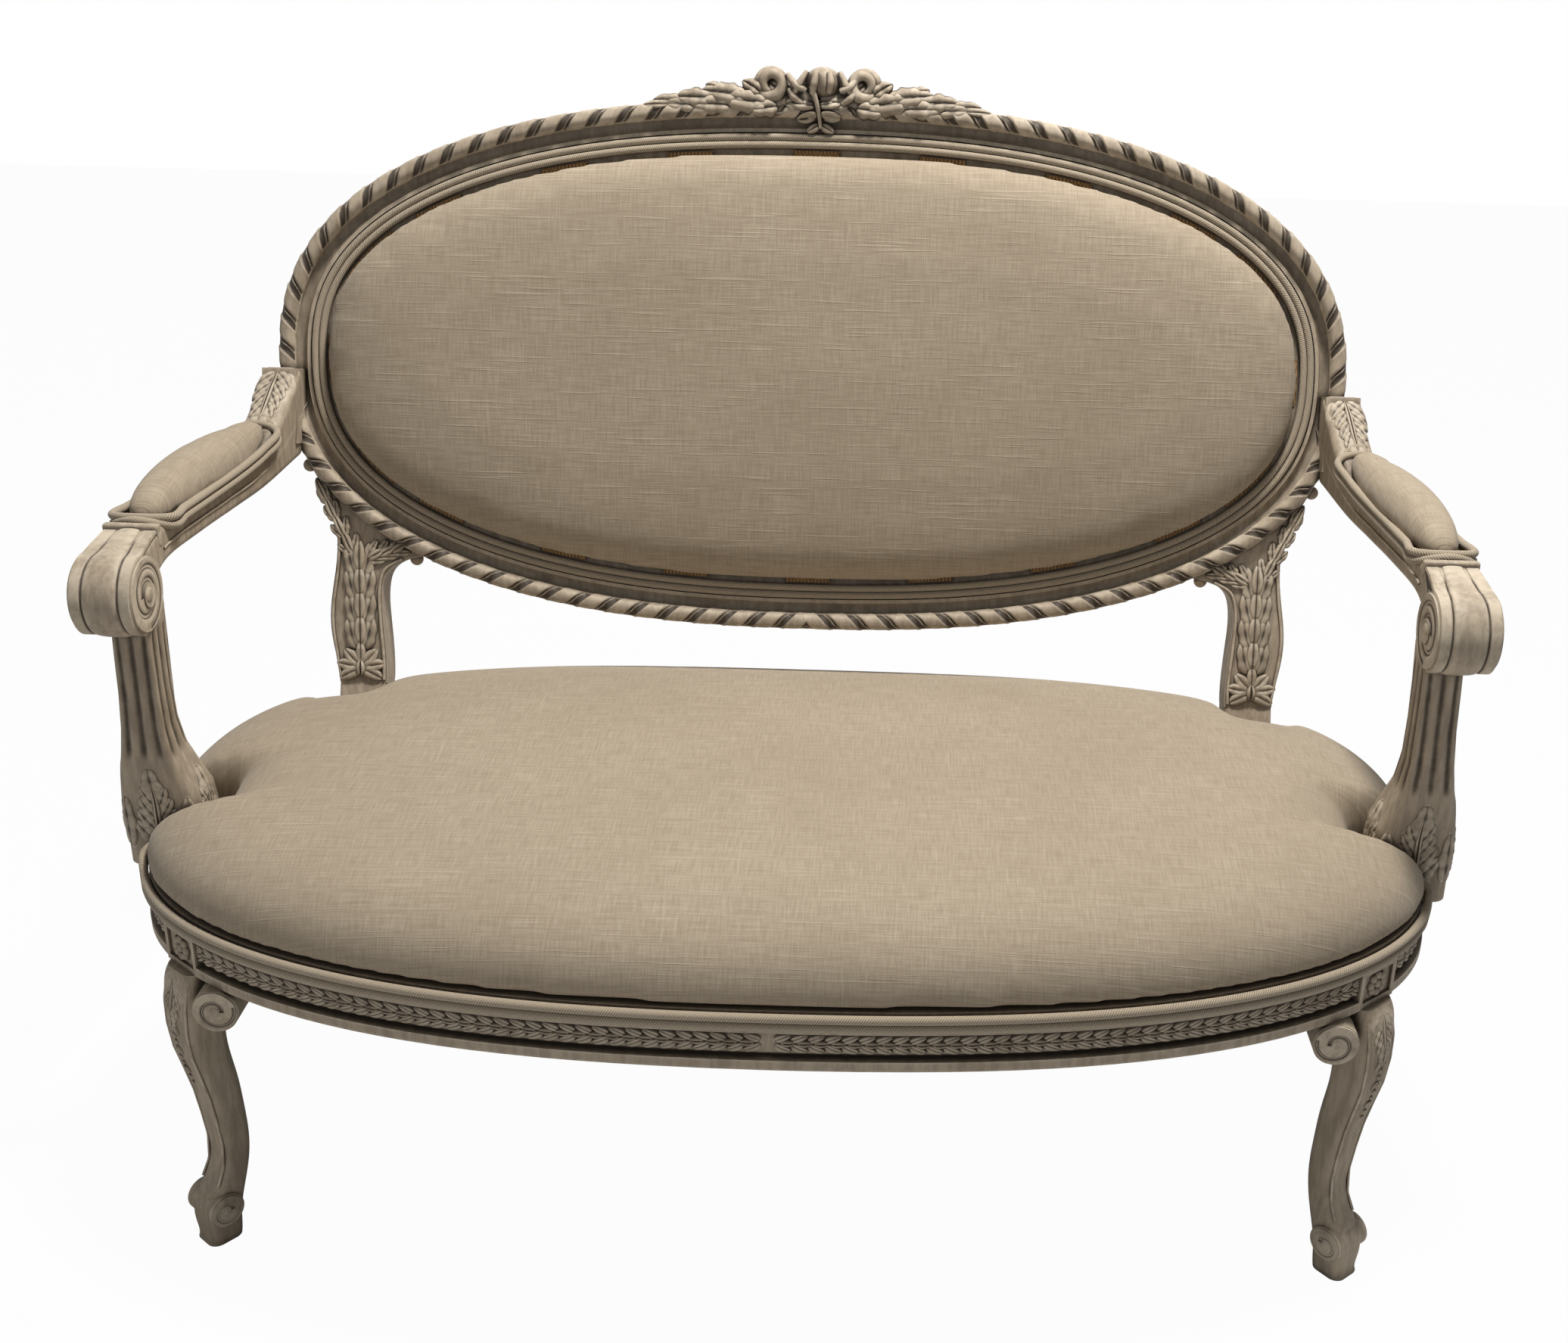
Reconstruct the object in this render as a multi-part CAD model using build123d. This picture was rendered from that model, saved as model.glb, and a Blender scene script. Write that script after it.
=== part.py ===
from build123d import *
import math
import os

os.makedirs("parts", exist_ok=True)

# All lengths are millimetres, +Z is up and the sitter faces -Y.
# Left means the -X side. Left hand pieces are modelled and mirrored to the right.

# Clearances between mating pieces.
gap = 0.3
slip = 0.15

# Seat rails: bow-fronted oval in plan, widest at seat_wide_y.
seat_half_width = 648.0
seat_wide_y = 330.0
seat_front_depth = 324.0
seat_back_depth = 335.0
seat_front_power = 2.4
seat_back_power = 3.0
rail_thickness = 28.0
rail_bottom = 303.0
rail_shoulder = 344.0
rail_top = 362.0
rail_rebate = 3.0
rail_ledge_inset = 14.0
rail_ledge_top = 357.0
rail_lip_top = 313.0
rail_groove_top = 318.0
rail_band_top = 340.0
rail_band_depth = 4.0
rail_groove_depth = 9.0

# Seat upholstery, built up on the rails.
strap_width = 50.0
strap_thickness = 2.0
burlap_thickness = 1.0
seat_crown = [
    (362.3, 3.0),
    (374.0, 2.0),
    (388.0, 4.0),
    (401.0, 11.0),
    (413.0, 24.0),
    (424.0, 46.0),
    (433.0, 78.0),
    (440.0, 124.0),
    (445.0, 190.0),
    (447.0, 250.0),
]
welt_radius = 4.2
welt_front_start = 195.0
welt_stand_off = {"front": 0.5, "side": 2.3, "rear": 1.2}

# Front legs: a block in the rail corner above a cabriole curve, set on the diagonal.
front_leg_xy = (562.0, 149.0)
front_leg_turn = 40.0
front_block_out = 11.0
front_block_in = 31.0
front_block_half = 26.0
front_leg_curve = [
    (303.0, -5.0, 0.0, 47.0),
    (268.0, 4.0, 2.0, 48.0),
    (244.0, 7.0, 4.0, 46.0),
    (217.0, 7.0, 6.0, 42.5),
    (191.0, 3.0, 8.0, 39.5),
    (164.0, -1.0, 10.0, 37.0),
    (137.0, -3.0, 12.0, 35.0),
    (110.0, -4.0, 14.0, 33.0),
    (83.0, -1.0, 15.0, 32.5),
    (60.0, 9.0, 16.0, 37.0),
    (40.0, 17.0, 16.0, 40.0),
    (20.0, 19.0, 16.0, 38.0),
    (0.0, 20.0, 16.0, 36.0),
]
foot_scroll_radius = 18.0
foot_scroll_z = 40.0
foot_scroll_width = 44.0
foot_scroll_shift = (20.0, 16.0)
knee_scroll_radius = 22.0
knee_scroll_start = (-526.0, 99.0, 282.0)

# Rear legs with the back stiles above them, one piece of wood each.
rear_block_xy = (512.0, 590.0)
rear_block_size = (56.0, 66.0)
glue_block_front = (48.3, 182.0, 34.0)
glue_block_rear = (-483.2, 539.2, 170.0, 31.0, 26.8)
glue_block_z = (312.0, 352.0)
rear_leg_curve = [
    (303.0, 512.0, 592.0, 52.0, 60.0),
    (200.0, 514.0, 602.0, 44.0, 46.0),
    (100.0, 517.0, 624.0, 38.0, 39.0),
    (0.0, 521.0, 656.0, 34.0, 35.0),
]
stile_outer = [(-581, -86), (-574, -108), (-563, -130), (-549, -155), (-539, -194), (-541, -240),
               (-547, -281), (-547, -310), (-541, -345), (-538, -370)]
stile_inner = [(-484, -370), (-484, -340), (-487, -300), (-488, -262), (-481, -240), (-462, -228),
               (-436, -222)]
stile_front = -3.0
stile_back = -38.0
knob_radius = 7.5

# Oval back: a plane leaning back, its outline a superellipse.
back_lean = 14.49
back_centre_y = 673.3
back_centre_z = 768.5
oval_half_width = 597.0
oval_half_height = 291.0
oval_power = 2.37
frame_width = 60.0
frame_back = -36.0
bead_width = 15.0
bead_height = 6.0
cove_end = 28.0
cove_depth = 10.0
fillet_end = 32.0
ledge_level = -8.0
rear_rebate_start = 24.0
rear_rebate_depth = 3.0
rear_cover_margin = 2.2
top_joint = 52.0
bottom_joint = 40.0
frame_stations = 16

back_strap_thickness = 1.2

# Back upholstery. Each crown pair is (height over the frame plane, inset of the edge).
pad_inset = 50.0
back_welt_radius = 3.9
back_welt_insets = (37.3, 45.4)
back_crown = [
    (-5.4, 0.0),
    (2.0, 0.0),
    (10.0, 4.5),
    (18.0, 16.0),
    (24.0, 36.0),
    (29.0, 68.0),
    (33.0, 120.0),
]

# Arms: (y, x of centreline, z of top, width, depth) from the back frame to the front.
arm_stations = [
    (664.0, -592.0, 762.0, 42.0, 93.0),
    (640.0, -594.0, 744.0, 42.0, 84.0),
    (612.0, -598.0, 722.0, 42.0, 66.0),
    (580.0, -604.0, 702.0, 42.0, 50.0),
    (540.0, -611.0, 690.0, 42.0, 42.0),
    (480.0, -619.0, 686.0, 43.0, 39.0),
    (420.0, -624.0, 686.0, 44.0, 38.0),
    (360.0, -627.0, 688.0, 46.0, 38.0),
    (310.0, -628.0, 690.0, 50.0, 40.0),
    (270.0, -628.0, 684.0, 54.0, 44.0),
    (252.0, -628.0, 680.5, 57.0, 50.0),
]
scroll_centre = (-627.5, 246.0, 643.0)
scroll_radius = 37.0
scroll_width = 57.0
arm_pad_front = 322.0
arm_pad_back = 585.0
arm_pad_height = 38.0
arm_pad_overhang = 1.0
notch_clearance = 10.5
stile_clearance = 2.0
arm_welt_radius = 4.0

# Arm posts: (z, x, y, width, depth).
post_joint_z = 618.0
post_curve = [
    (346.0, -625.0, 294.0, 76.0, 68.0),
    (358.0, -625.0, 294.0, 76.0, 68.0),
    (370.0, -625.0, 294.0, 76.0, 68.0),
    (395.0, -624.0, 292.0, 79.0, 66.0),
    (420.0, -624.0, 288.0, 78.0, 60.0),
    (445.0, -626.0, 282.0, 66.0, 54.0),
    (468.0, -627.0, 277.0, 55.0, 49.0),
    (500.0, -625.0, 271.0, 46.0, 44.0),
    (540.0, -622.0, 266.0, 42.0, 42.0),
    (580.0, -620.0, 264.0, 40.0, 44.0),
    (618.0, -618.0, 264.0, 38.0, 48.0),
]

# Crest: carved piece seated on the top middle of the oval.
crest_half_length = 192.0
crest_outline = [(-192, 279), (-172, 287), (-150, 292), (-128, 293), (-108, 297), (-92, 302), (-72, 309),
                 (-54, 322), (-38, 327), (-20, 326)]

# Fastenings.
dowel_radius = 5.0
dowel_length = 50.0
rail_dowel_heights = (326.0, 346.0)
screw_radius = 2.2
screw_length = 56.0
screw_head_radius = 4.4


def superellipse_point(half_x, half_y, power, angle):
    """Point and outward unit normal of a superellipse at a parameter angle in degrees."""
    c = math.cos(math.radians(angle))
    s = math.sin(math.radians(angle))
    x = half_x * math.copysign(abs(c) ** (2 / power), c)
    y = half_y * math.copysign(abs(s) ** (2 / power), s)
    nx = math.copysign(abs(x / half_x) ** (power - 1) / half_x, c)
    ny = math.copysign(abs(y / half_y) ** (power - 1) / half_y, s)
    size = math.hypot(nx, ny)
    return x, y, nx / size, ny / size


def oval_point(angle, inset):
    """Point of the oval back outline moved inward by the inset."""
    x, y, nx, ny = superellipse_point(oval_half_width, oval_half_height, oval_power, angle)
    return x - nx * inset, y - ny * inset


def seat_point(angle, inset):
    """Point of the seat plan outline moved inward by the inset."""
    front = angle % 360 > 180
    depth = seat_front_depth if front else seat_back_depth
    power = seat_front_power if front else seat_back_power
    x, y, nx, ny = superellipse_point(seat_half_width, depth, power, angle)
    return x - nx * inset, seat_wide_y + y - ny * inset


def closed_face(point, inset, count=36):
    """Planar face inside a closed outline."""
    points = [Vector(*point(360 * (i + 0.5) / count, inset), 0) for i in range(count)]
    return make_face(Spline(*points, periodic=True))


def back_plane(height):
    """Work plane of the oval back, a given height in front of the frame plane."""
    lean = math.radians(back_lean)
    normal = Vector(0, -math.cos(lean), math.sin(lean))
    origin = Vector(0, back_centre_y, back_centre_z) + normal * height
    return Plane(origin=origin, x_dir=(1, 0, 0), z_dir=normal)


def slab(face, bottom, top):
    """Straight-sided solid over a horizontal face."""
    return Pos(0, 0, bottom) * extrude(face, amount=top - bottom, dir=(0, 0, 1))


def back_slab(face, low, high):
    """Straight-sided solid normal to the plane of the back."""
    plane = back_plane(low)
    return extrude(plane * face, amount=high - low, dir=plane.z_dir)


def box_between(x0, x1, y0, y1, z0, z1):
    return Pos((x0 + x1) / 2, (y0 + y1) / 2, (z0 + z1) / 2) * Box(x1 - x0, y1 - y0, z1 - z0)


def rounded_section(x, y, z, width, depth, turn=0.0, softness=0.3):
    """Horizontal rounded rectangle centred at a point."""
    radius = min(width, depth) * softness
    return Pos(x, y, z) * Rot(0, 0, turn) * RectangleRounded(width, depth, radius)


def one_solid(shape):
    """The largest solid of a result, which drops boolean crumbs."""
    return max(shape.solids(), key=lambda s: s.volume)


def mirror_x(shape):
    return mirror(shape, about=Plane.YZ)


def outside_of_outline(inset, bottom, top):
    """Everything outside the seat outline between two heights."""
    block = box_between(-760, 760, -120, 800, bottom, top)
    return block - slab(closed_face(seat_point, inset), bottom - 1, top + 1)


def tube(path, radius, shares, straight=False):
    """Round cord along a path, through circles square to it at the given shares of its length."""
    circles = []
    for share in shares:
        heading = path % share
        across = Vector(0, 0, 1).cross(heading)
        circles.append(Plane(origin=path @ share, x_dir=across, z_dir=heading) * Circle(radius))
    return loft(circles, ruled=straight)


def even(start, end, count):
    return [start + (end - start) * i / count for i in range(count + 1)]


def looped_tube(path, radius, stations):
    """Round cord along a closed path, made in two halves."""
    return tube(path, radius, even(0.0, 0.5, stations)) + tube(path, radius, even(0.5, 1.0, stations))


# Seat frame


def front_block(out, inward, half, bottom, top):
    """Block of the left front leg on the diagonal of the corner."""
    x, y = front_leg_xy
    middle = (out - inward) / 2
    turn = Rot(0, 0, -front_leg_turn)
    block = Pos(0, -middle, (bottom + top) / 2) * Box(2 * half, out + inward, top - bottom)
    return Pos(-x, y, 0) * turn * block


def front_direction():
    """Outward diagonal of the left front leg."""
    turn = math.radians(front_leg_turn)
    return -math.sin(turn), -math.cos(turn)


def rear_block(grow, bottom, top):
    x, y = rear_block_xy
    width, depth = rear_block_size
    return Pos(-x, y, (bottom + top) / 2) * Box(width + 2 * grow, depth + 2 * grow, top - bottom)


def rail_ring():
    """Moulded ring the four rails are cut from: lip, groove, carved band, welt rebate."""
    ring = slab(closed_face(seat_point, -2.0), rail_bottom, rail_top)
    ring -= slab(closed_face(seat_point, rail_thickness), rail_bottom - 1, rail_top + 1)
    ring -= outside_of_outline(rail_groove_depth, rail_lip_top, rail_groove_top)
    ring -= outside_of_outline(rail_band_depth, rail_groove_top, rail_band_top)
    ring -= outside_of_outline(0.0, rail_band_top, rail_shoulder)
    ring -= outside_of_outline(rail_rebate, rail_shoulder, rail_top + 1)
    ring -= slab(closed_face(seat_point, rail_ledge_inset), rail_ledge_top, rail_top + 1)
    return ring


def post_socket(grow):
    """Lap the left arm post stands in, cut into the side rail, and room ahead of it for the cords to turn."""
    z, x, y, width, depth = post_curve[0]
    reach, along = width / 2 + grow, depth / 2 + grow
    curl_room = 2 * welt_radius + 2 * gap
    socket = box_between(x - reach - 40, x + reach, y - along, y + along, z, 420)
    socket += box_between(x - reach - 40, x + reach, y - along - curl_room, y, rail_top - 1.5, 420)
    return socket + box_between(x - reach - 40, x + 11, y - along - 3 * curl_room, y - along, rail_top - 7, 420)


def seat_rails():
    ring = rail_ring()
    for block in (front_block(front_block_out, front_block_in, front_block_half, 200, 420), rear_block(0, 200, 420)):
        ring -= block
        ring -= mirror_x(block)
    ring -= post_socket(slip)
    ring -= mirror_x(post_socket(slip))
    pieces = sorted(ring.solids(), key=lambda s: -s.volume)[:4]
    front = min(pieces, key=lambda s: s.center().Y)
    back = max(pieces, key=lambda s: s.center().Y)
    left = min(pieces, key=lambda s: s.center().X)
    right = max(pieces, key=lambda s: s.center().X)
    return front, back, left, right


def glue_block_frames():
    """Middle point and outward direction of the left front and left rear glue blocks."""
    dx, dy = front_direction()
    back, long_front, thick_front = glue_block_front
    front = (Vector(-front_leg_xy[0] - dx * back, front_leg_xy[1] - dy * back, 0), Vector(dx, dy, 0))
    x, y, long_rear, thick_rear, turn = glue_block_rear
    turn = math.radians(turn)
    rear = (Vector(x, y, 0), Vector(-math.sin(turn), math.cos(turn), 0))
    return (*front, long_front, thick_front), (*rear, long_rear, thick_rear)


def corner_blocks():
    """Glue blocks in the four inner corners of the seat frame."""
    low, high = glue_block_z
    inside = slab(closed_face(seat_point, rail_thickness + gap), low, high)
    blocks = []
    for middle, out, length, thick in glue_block_frames():
        across = Plane(origin=middle + Vector(0, 0, low), x_dir=(-out.Y, out.X, 0), z_dir=(0, 0, 1))
        raw = extrude(across * Rectangle(length, thick), amount=high - low)
        block = one_solid(raw & inside)
        for screw in block_screws(screw_radius + slip, slip):
            block -= screw
        block = one_solid(block)
        blocks += [block, mirror_x(block)]
    return blocks


def block_screws(radius, grow):
    """Screws through the left glue blocks into the rails."""
    middle_z = sum(glue_block_z) / 2
    pins = []
    for (middle, out, length, thick), splay in zip(glue_block_frames(), (0.5, 0.0)):
        along = Vector(-out.Y, out.X, 0)
        for side in (-1, 1):
            start = middle - out * (thick / 2) + along * (side * (68 - 24 * splay)) + Vector(0, 0, middle_z)
            heading = (out + along * (side * splay)).normalized()
            pin = rod(start - heading * grow, heading, screw_length + 2 * grow, radius)
            pin += rod(start - heading * grow, heading, 3 + 2 * grow, radius + screw_head_radius - screw_radius)
            pins.append(pin)
    return pins


def rod(start, direction, length, radius):
    """Cylinder from a start point along a direction."""
    return extrude(Plane(origin=start, z_dir=direction) * Circle(radius), amount=length)


def front_joint_axes():
    """Start points and directions of the dowels at one left front leg."""
    x, y = front_leg_xy
    dx, dy = front_direction()
    tx, ty = -dy, dx
    depth = -8.0
    axes = []
    for side in (-1, 1):
        middle = -x + dx * depth + tx * side * front_block_half
        across = y + dy * depth + ty * side * front_block_half
        for z in rail_dowel_heights:
            start = Vector(middle - tx * side * 24, across - ty * side * 24, z)
            axes.append((start, Vector(tx * side, ty * side, 0)))
    return axes


def rear_joint_axes():
    """Start points and directions of the dowels at one left rear leg."""
    x, y = rear_block_xy
    width, depth = rear_block_size
    axes = []
    for z in rail_dowel_heights:
        axes.append((Vector(-x + width / 2 - 24, y + 8, z), Vector(1, 0, 0)))
        axes.append((Vector(-x - width / 2 + 17, y - depth / 2 + 16, z), Vector(-0.816, -0.578, 0)))
    return axes


def seat_dowels(radius, grow):
    rods = []
    for start, direction in front_joint_axes() + rear_joint_axes():
        length = dowel_length - 10
        piece = rod(start - direction * grow, direction, length + 2 * grow, radius)
        rods += [piece, mirror_x(piece)]
    return rods


# Legs


def cabriole_leg():
    """Left front leg below the rail, lofted along its curve, with the scroll foot and knee scroll."""
    x, y = front_leg_xy
    dx, dy = front_direction()
    out, along = Vector(dx, dy, 0), Vector(-dy, dx, 0)
    sections = []
    for z, shift, drift, width in front_leg_curve:
        middle = Vector(-x, y, z) + out * shift + along * drift
        sections.append(rounded_section(middle.X, middle.Y, z, width, width, -front_leg_turn))
    leg = loft(sections)
    foot = Vector(-x, y, foot_scroll_z) + out * foot_scroll_shift[0] + along * foot_scroll_shift[1]
    leg += rod(foot - along * (foot_scroll_width / 2), along, foot_scroll_width, foot_scroll_radius)
    knee = Vector(*knee_scroll_start)
    leg += rod(knee, Vector(0, 1, 0), 46, knee_scroll_radius) & box_between(-700, 0, 0, 300, 100, rail_bottom)
    leg &= box_between(-800, 0, -100, 400, 0, rail_bottom)
    return leg


def rosette(block_face, axis):
    """Eight petals round a boss, in low relief on the leg block."""
    centre = block_face
    side = Vector(-axis.Y, axis.X, 0)
    petals = [Pos(*centre) * Sphere(5.0)]
    for i in range(8):
        turn = math.radians(45 * i)
        offset = side * (math.cos(turn) * 9.0) + Vector(0, 0, math.sin(turn) * 9.0)
        petals.append(Pos(*(centre + offset)) * Sphere(4.6))
    return petals


def front_leg():
    x, y = front_leg_xy
    dx, dy = front_direction()
    block = front_block(front_block_out, front_block_in, front_block_half, rail_bottom, rail_top)
    axis = Vector(dx, dy, 0)
    face = Vector(-x + dx * front_block_out, y + dy * front_block_out, 324)
    panel = Pos(*face) * Rot(0, 0, -front_leg_turn) * Box(42, 6, 30)
    block -= panel
    for petal in rosette(face - axis * 3, axis):
        block += petal
    block -= outside_of_outline(rail_rebate, rail_shoulder, rail_top + 1)
    leg = block + cabriole_leg()
    for hole in seat_dowels(dowel_radius + slip, slip):
        leg -= hole
    return one_solid(leg)


def stile():
    """Left back stile up to the oval, shaped in the plane of the back."""
    edge = Spline(*[Vector(x, y, 0) for x, y in stile_outer])
    inner = Spline(*[Vector(x, y, 0) for x, y in stile_inner])
    close_low = Line(edge @ 1, inner @ 0)
    close_high = Polyline(inner @ 1, Vector(-470, -120, 0), edge @ 0)
    face = make_face(edge + close_low + inner + close_high)
    body = back_slab(face, stile_back, stile_front)
    for x, s in ((-450, -226), (-571, -122)):
        body += back_plane((stile_front + stile_back) / 2 + 8) * Pos(x, s, 0) * Sphere(knob_radius)
    keep = closed_face(oval_point, -gap)
    return body - back_slab(keep, stile_back - 20, stile_front + 30)


def rear_leg():
    """Left rear leg: sabre leg, rail block and stile in one piece."""
    sections = [rounded_section(-x, y, z, w, d, 0, 0.2) for z, x, y, w, d in rear_leg_curve]
    leg = loft(sections) + rear_block(0, rail_bottom, rail_top)
    lean = math.radians(back_lean)
    shift = (stile_back + stile_front) / 2
    low_s = stile_outer[-1][1] + 8
    y = back_centre_y + low_s * math.sin(lean) - shift * math.cos(lean)
    z = back_centre_z + low_s * math.cos(lean) + shift * math.sin(lean)
    top_x = (stile_outer[-1][0] + stile_inner[0][0]) / 2
    neck = [
        rounded_section(-rear_block_xy[0], rear_block_xy[1], rail_top - 4, 54, 60, 0, 0.12),
        rounded_section(top_x, y, z, stile_inner[0][0] - stile_outer[-1][0] + 0.5, 35.5, 0, 0.12),
    ]
    leg += loft(neck)
    leg += stile()
    for hole in seat_dowels(dowel_radius + slip, slip) + stile_dowels(dowel_radius + slip, slip):
        leg -= hole
    return one_solid(leg)


# Oval back frame


def frame_profile():
    """Section of the oval frame: x runs inward from the outline, y forward of the frame plane."""
    bead = ThreePointArc((0, 0), (bead_width / 2, bead_height), (bead_width, 0))
    cove_mid = ((bead_width + cove_end) / 2 - 1.5, -cove_depth)
    cove = ThreePointArc((bead_width, -2), cove_mid, (cove_end, -4))
    outline = bead + Line((bead_width, 0), (bead_width, -2)) + cove
    outline += Polyline(
        (cove_end, -4),
        (fillet_end, -4),
        (fillet_end, ledge_level),
        (frame_width, ledge_level),
        (frame_width, frame_back + rear_rebate_depth),
        (rear_rebate_start, frame_back + rear_rebate_depth),
        (rear_rebate_start, frame_back),
        (5, frame_back),
        (0, frame_back + 5),
        (0, 0),
    )
    return make_face(outline)


def frame_station(angle):
    """Work plane across the frame at a parameter angle: x inward, y forward."""
    x, y, nx, ny = superellipse_point(oval_half_width, oval_half_height, oval_power, angle)
    return Plane(origin=(x, y, 0), x_dir=(-nx, -ny, 0), z_dir=(-ny, nx, 0))


def frame_segment(start, end):
    """One curved length of the frame between two parameter angles."""
    count = frame_stations
    angles = [start + (end - start) * i / count for i in range(count + 1)]
    profile = frame_profile()
    return back_plane(0) * loft([frame_station(angle) * profile for angle in angles])


def frame_joint_axes():
    """Dowel axes at the four joints of the oval frame."""
    axes = []
    for angle in (top_joint, 180 - top_joint, 180 + bottom_joint, 360 - bottom_joint):
        nx, ny = superellipse_point(oval_half_width, oval_half_height, oval_power, angle)[2:]
        for inset in (14.0, 40.0):
            x, y = oval_point(angle, inset)
            axes.append((x, y, -ny, nx))
    return axes


def frame_dowels(radius, grow):
    plane = back_plane(frame_back / 2 - 3)
    half = dowel_length / 2 - 3 + grow
    rods = []
    for x, y, tx, ty in frame_joint_axes():
        local = rod(Vector(x - tx * half, y - ty * half, 0), Vector(tx, ty, 0), 2 * half, radius)
        rods.append(plane * local)
    return rods


def stile_dowels(radius, grow):
    """Dowels from the left stile into the oval frame, and their mirror images."""
    plane = back_plane((stile_back + stile_front) / 2)
    nx, ny = 0.62, 0.78
    reach = 20 + grow
    rods = []
    for x, s in ((-522, -170), (-492, -195)):
        start = Vector(x - nx * reach, s - ny * reach, 0)
        rods.append(plane * rod(start, Vector(nx, ny, 0), 2 * reach, radius - 1))
    return rods + [mirror_x(r) for r in rods]


def arm_tenon(grow):
    """Square-shouldered end of the left arm let into the front of the frame."""
    x, top, depth = arm_stations[0][1], arm_stations[0][2], arm_stations[0][4]
    high = (top - back_centre_z) / math.cos(math.radians(back_lean))
    half = arm_stations[0][3] / 2
    face = Pos(x, high - depth / 2 - 2) * Rectangle(2 * (half - 2 + grow), depth - 10 + 2 * grow)
    return back_slab(face, -14 - grow, 24)


def frame_pieces():
    tops = frame_segment(top_joint, 180 - top_joint)
    left = frame_segment(180 - top_joint, 180 + bottom_joint)
    bottom = frame_segment(180 + bottom_joint, 360 - bottom_joint)
    right = frame_segment(-bottom_joint, top_joint)
    left -= arm_tenon(slip)
    right -= mirror_x(arm_tenon(slip))
    pieces = []
    holes = frame_dowels(dowel_radius + slip, slip) + stile_dowels(dowel_radius + slip, slip)
    for piece in (tops, bottom, left, right):
        for hole in holes:
            piece -= hole
        pieces.append(one_solid(piece))
    return pieces


def crest():
    """Carved crest: twin scroll roses and a bud over a leafy garland, seated on the bead."""
    left_side = [Vector(x, y, 0) for x, y in crest_outline]
    right_side = [Vector(-v.X, v.Y, 0) for v in reversed(left_side)]
    top = Spline(*left_side, Vector(0, 331, 0), *right_side)
    base = Polyline(top @ 1, Vector(crest_half_length, 262, 0), Vector(-crest_half_length, 262, 0), top @ 0)
    body = back_slab(make_face(top + base), -22, 7)
    for side in (-1, 1):
        body += back_plane(8) * Pos(side * 50, 309, 0) * Cylinder(18.5, 26, rotation=(0, 78 * side, 0))
        for x, s, turn in ((96, 300, 10), (128, 294, -8), (160, 288, -14)):
            leaf = Pos(side * x, s, 0) * Rot(0, 0, side * turn) * scale(Sphere(1), by=(19, 6.5, 7))
            body += back_plane(7) * leaf
    body += back_plane(4) * Pos(0, 316, 0) * scale(Sphere(1), by=(24, 16, 16))
    keep_out = closed_face(oval_point, -gap)
    body += back_slab(Pos(0, 279) * SlotCenterToCenter(34, 13, rotation=90), bead_height + gap, 13)
    body -= back_slab(keep_out, -80, bead_height + gap)
    return one_solid(body)


# Back upholstery


def drawn_face(outline, centre, inset, draw):
    """Outline face drawn in toward its centre by the same amount on every side."""
    points = []
    half_x = outline(0, inset)[0]
    for i in range(36):
        angle = 10.0 * (i + 0.5)
        x, y = outline(angle, inset)
        half_y = abs(outline(90 if angle < 180 else 270, inset)[1] - centre)
        points.append(Vector(x * (1 - draw / half_x), centre + (y - centre) * (1 - draw / half_y), 0))
    return make_face(Spline(*points, periodic=True))


def dome(outline, centre, levels, inset, lift, place):
    """Crowned solid through outlines that draw in as they rise."""
    faces = [place(h + lift) * drawn_face(outline, centre, inset, draw) for h, draw in levels]
    return loft(faces, ruled=True)


def horizontal(height):
    return Pos(0, 0, height)


def back_cushion():
    """Back stuffing in its linen cover, domed toward the sitter."""
    return dome(oval_point, 0.0, back_crown, pad_inset, 0.0, back_plane)


def back_straps(low):
    """Two layers of webbing across the opening of the back."""
    area = closed_face(oval_point, pad_inset + 1.5)
    straps = []
    half_height = oval_half_height - pad_inset
    for i in range(3):
        across = Pos(0, (i - 1) * 115) * Rectangle(1400, strap_width)
        straps.append(back_slab(area & across, low, low + back_strap_thickness))
    for i in range(7):
        up = Pos((i - 3) * 140, 0) * Rectangle(strap_width, 2 * half_height + 100)
        straps.append(back_slab(area & up, low + back_strap_thickness, low + 2 * back_strap_thickness))
    return straps


def ring_cord(height):
    """Twin cords following the oval between the fillet and the pad."""
    cords = []
    for inset in back_welt_insets:
        points = [Vector(*oval_point(3.75 * i, inset), 0) for i in range(96)]
        cords.append(back_plane(height) * looped_tube(Spline(*points, periodic=True), back_welt_radius, 18))
    return cords


def back_cover_rear():
    face = closed_face(oval_point, rear_rebate_start + rear_cover_margin)
    return back_slab(face, frame_back + rear_rebate_depth - 2.0, frame_back + rear_rebate_depth)


# Seat upholstery


def seat_notch(grow, stile_grow):
    """Room in the seat for the posts, the cords turning round them, and the stiles."""
    x, y, width, depth = post_curve[3][1], post_curve[1][2], post_curve[3][3], post_curve[1][4]
    front = y - depth / 2 - grow
    post = box_between(x - 200, x + width / 2 + grow, front, y + depth / 2 + grow, 300, 700)
    post += box_between(x - 200, x + 11, front - 16, front, 300, 700)
    low, high = stile_outer[6][0] - stile_grow, stile_inner[1][0] + stile_grow
    stile_space = box_between(low, high, rear_block_xy[1] - rear_block_size[1] / 2 - stile_grow, 900, 300, 700)
    spaces = post + stile_space
    return spaces + mirror_x(spaces)


def front_corners():
    """Room round the front leg blocks for webbing and burlap."""
    corner = front_block(60, front_block_in + 1, front_block_half + 1, 300, 420)
    return corner + mirror_x(corner)


def seat_cushion():
    """Seat stuffing in its linen cover, crowned and rolled over all round."""
    body = dome(seat_point, seat_wide_y, seat_crown, 0.0, 0.0, horizontal)
    return one_solid(body - seat_notch(notch_clearance, stile_clearance))


def seat_area(inset):
    return closed_face(seat_point, inset)


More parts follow.
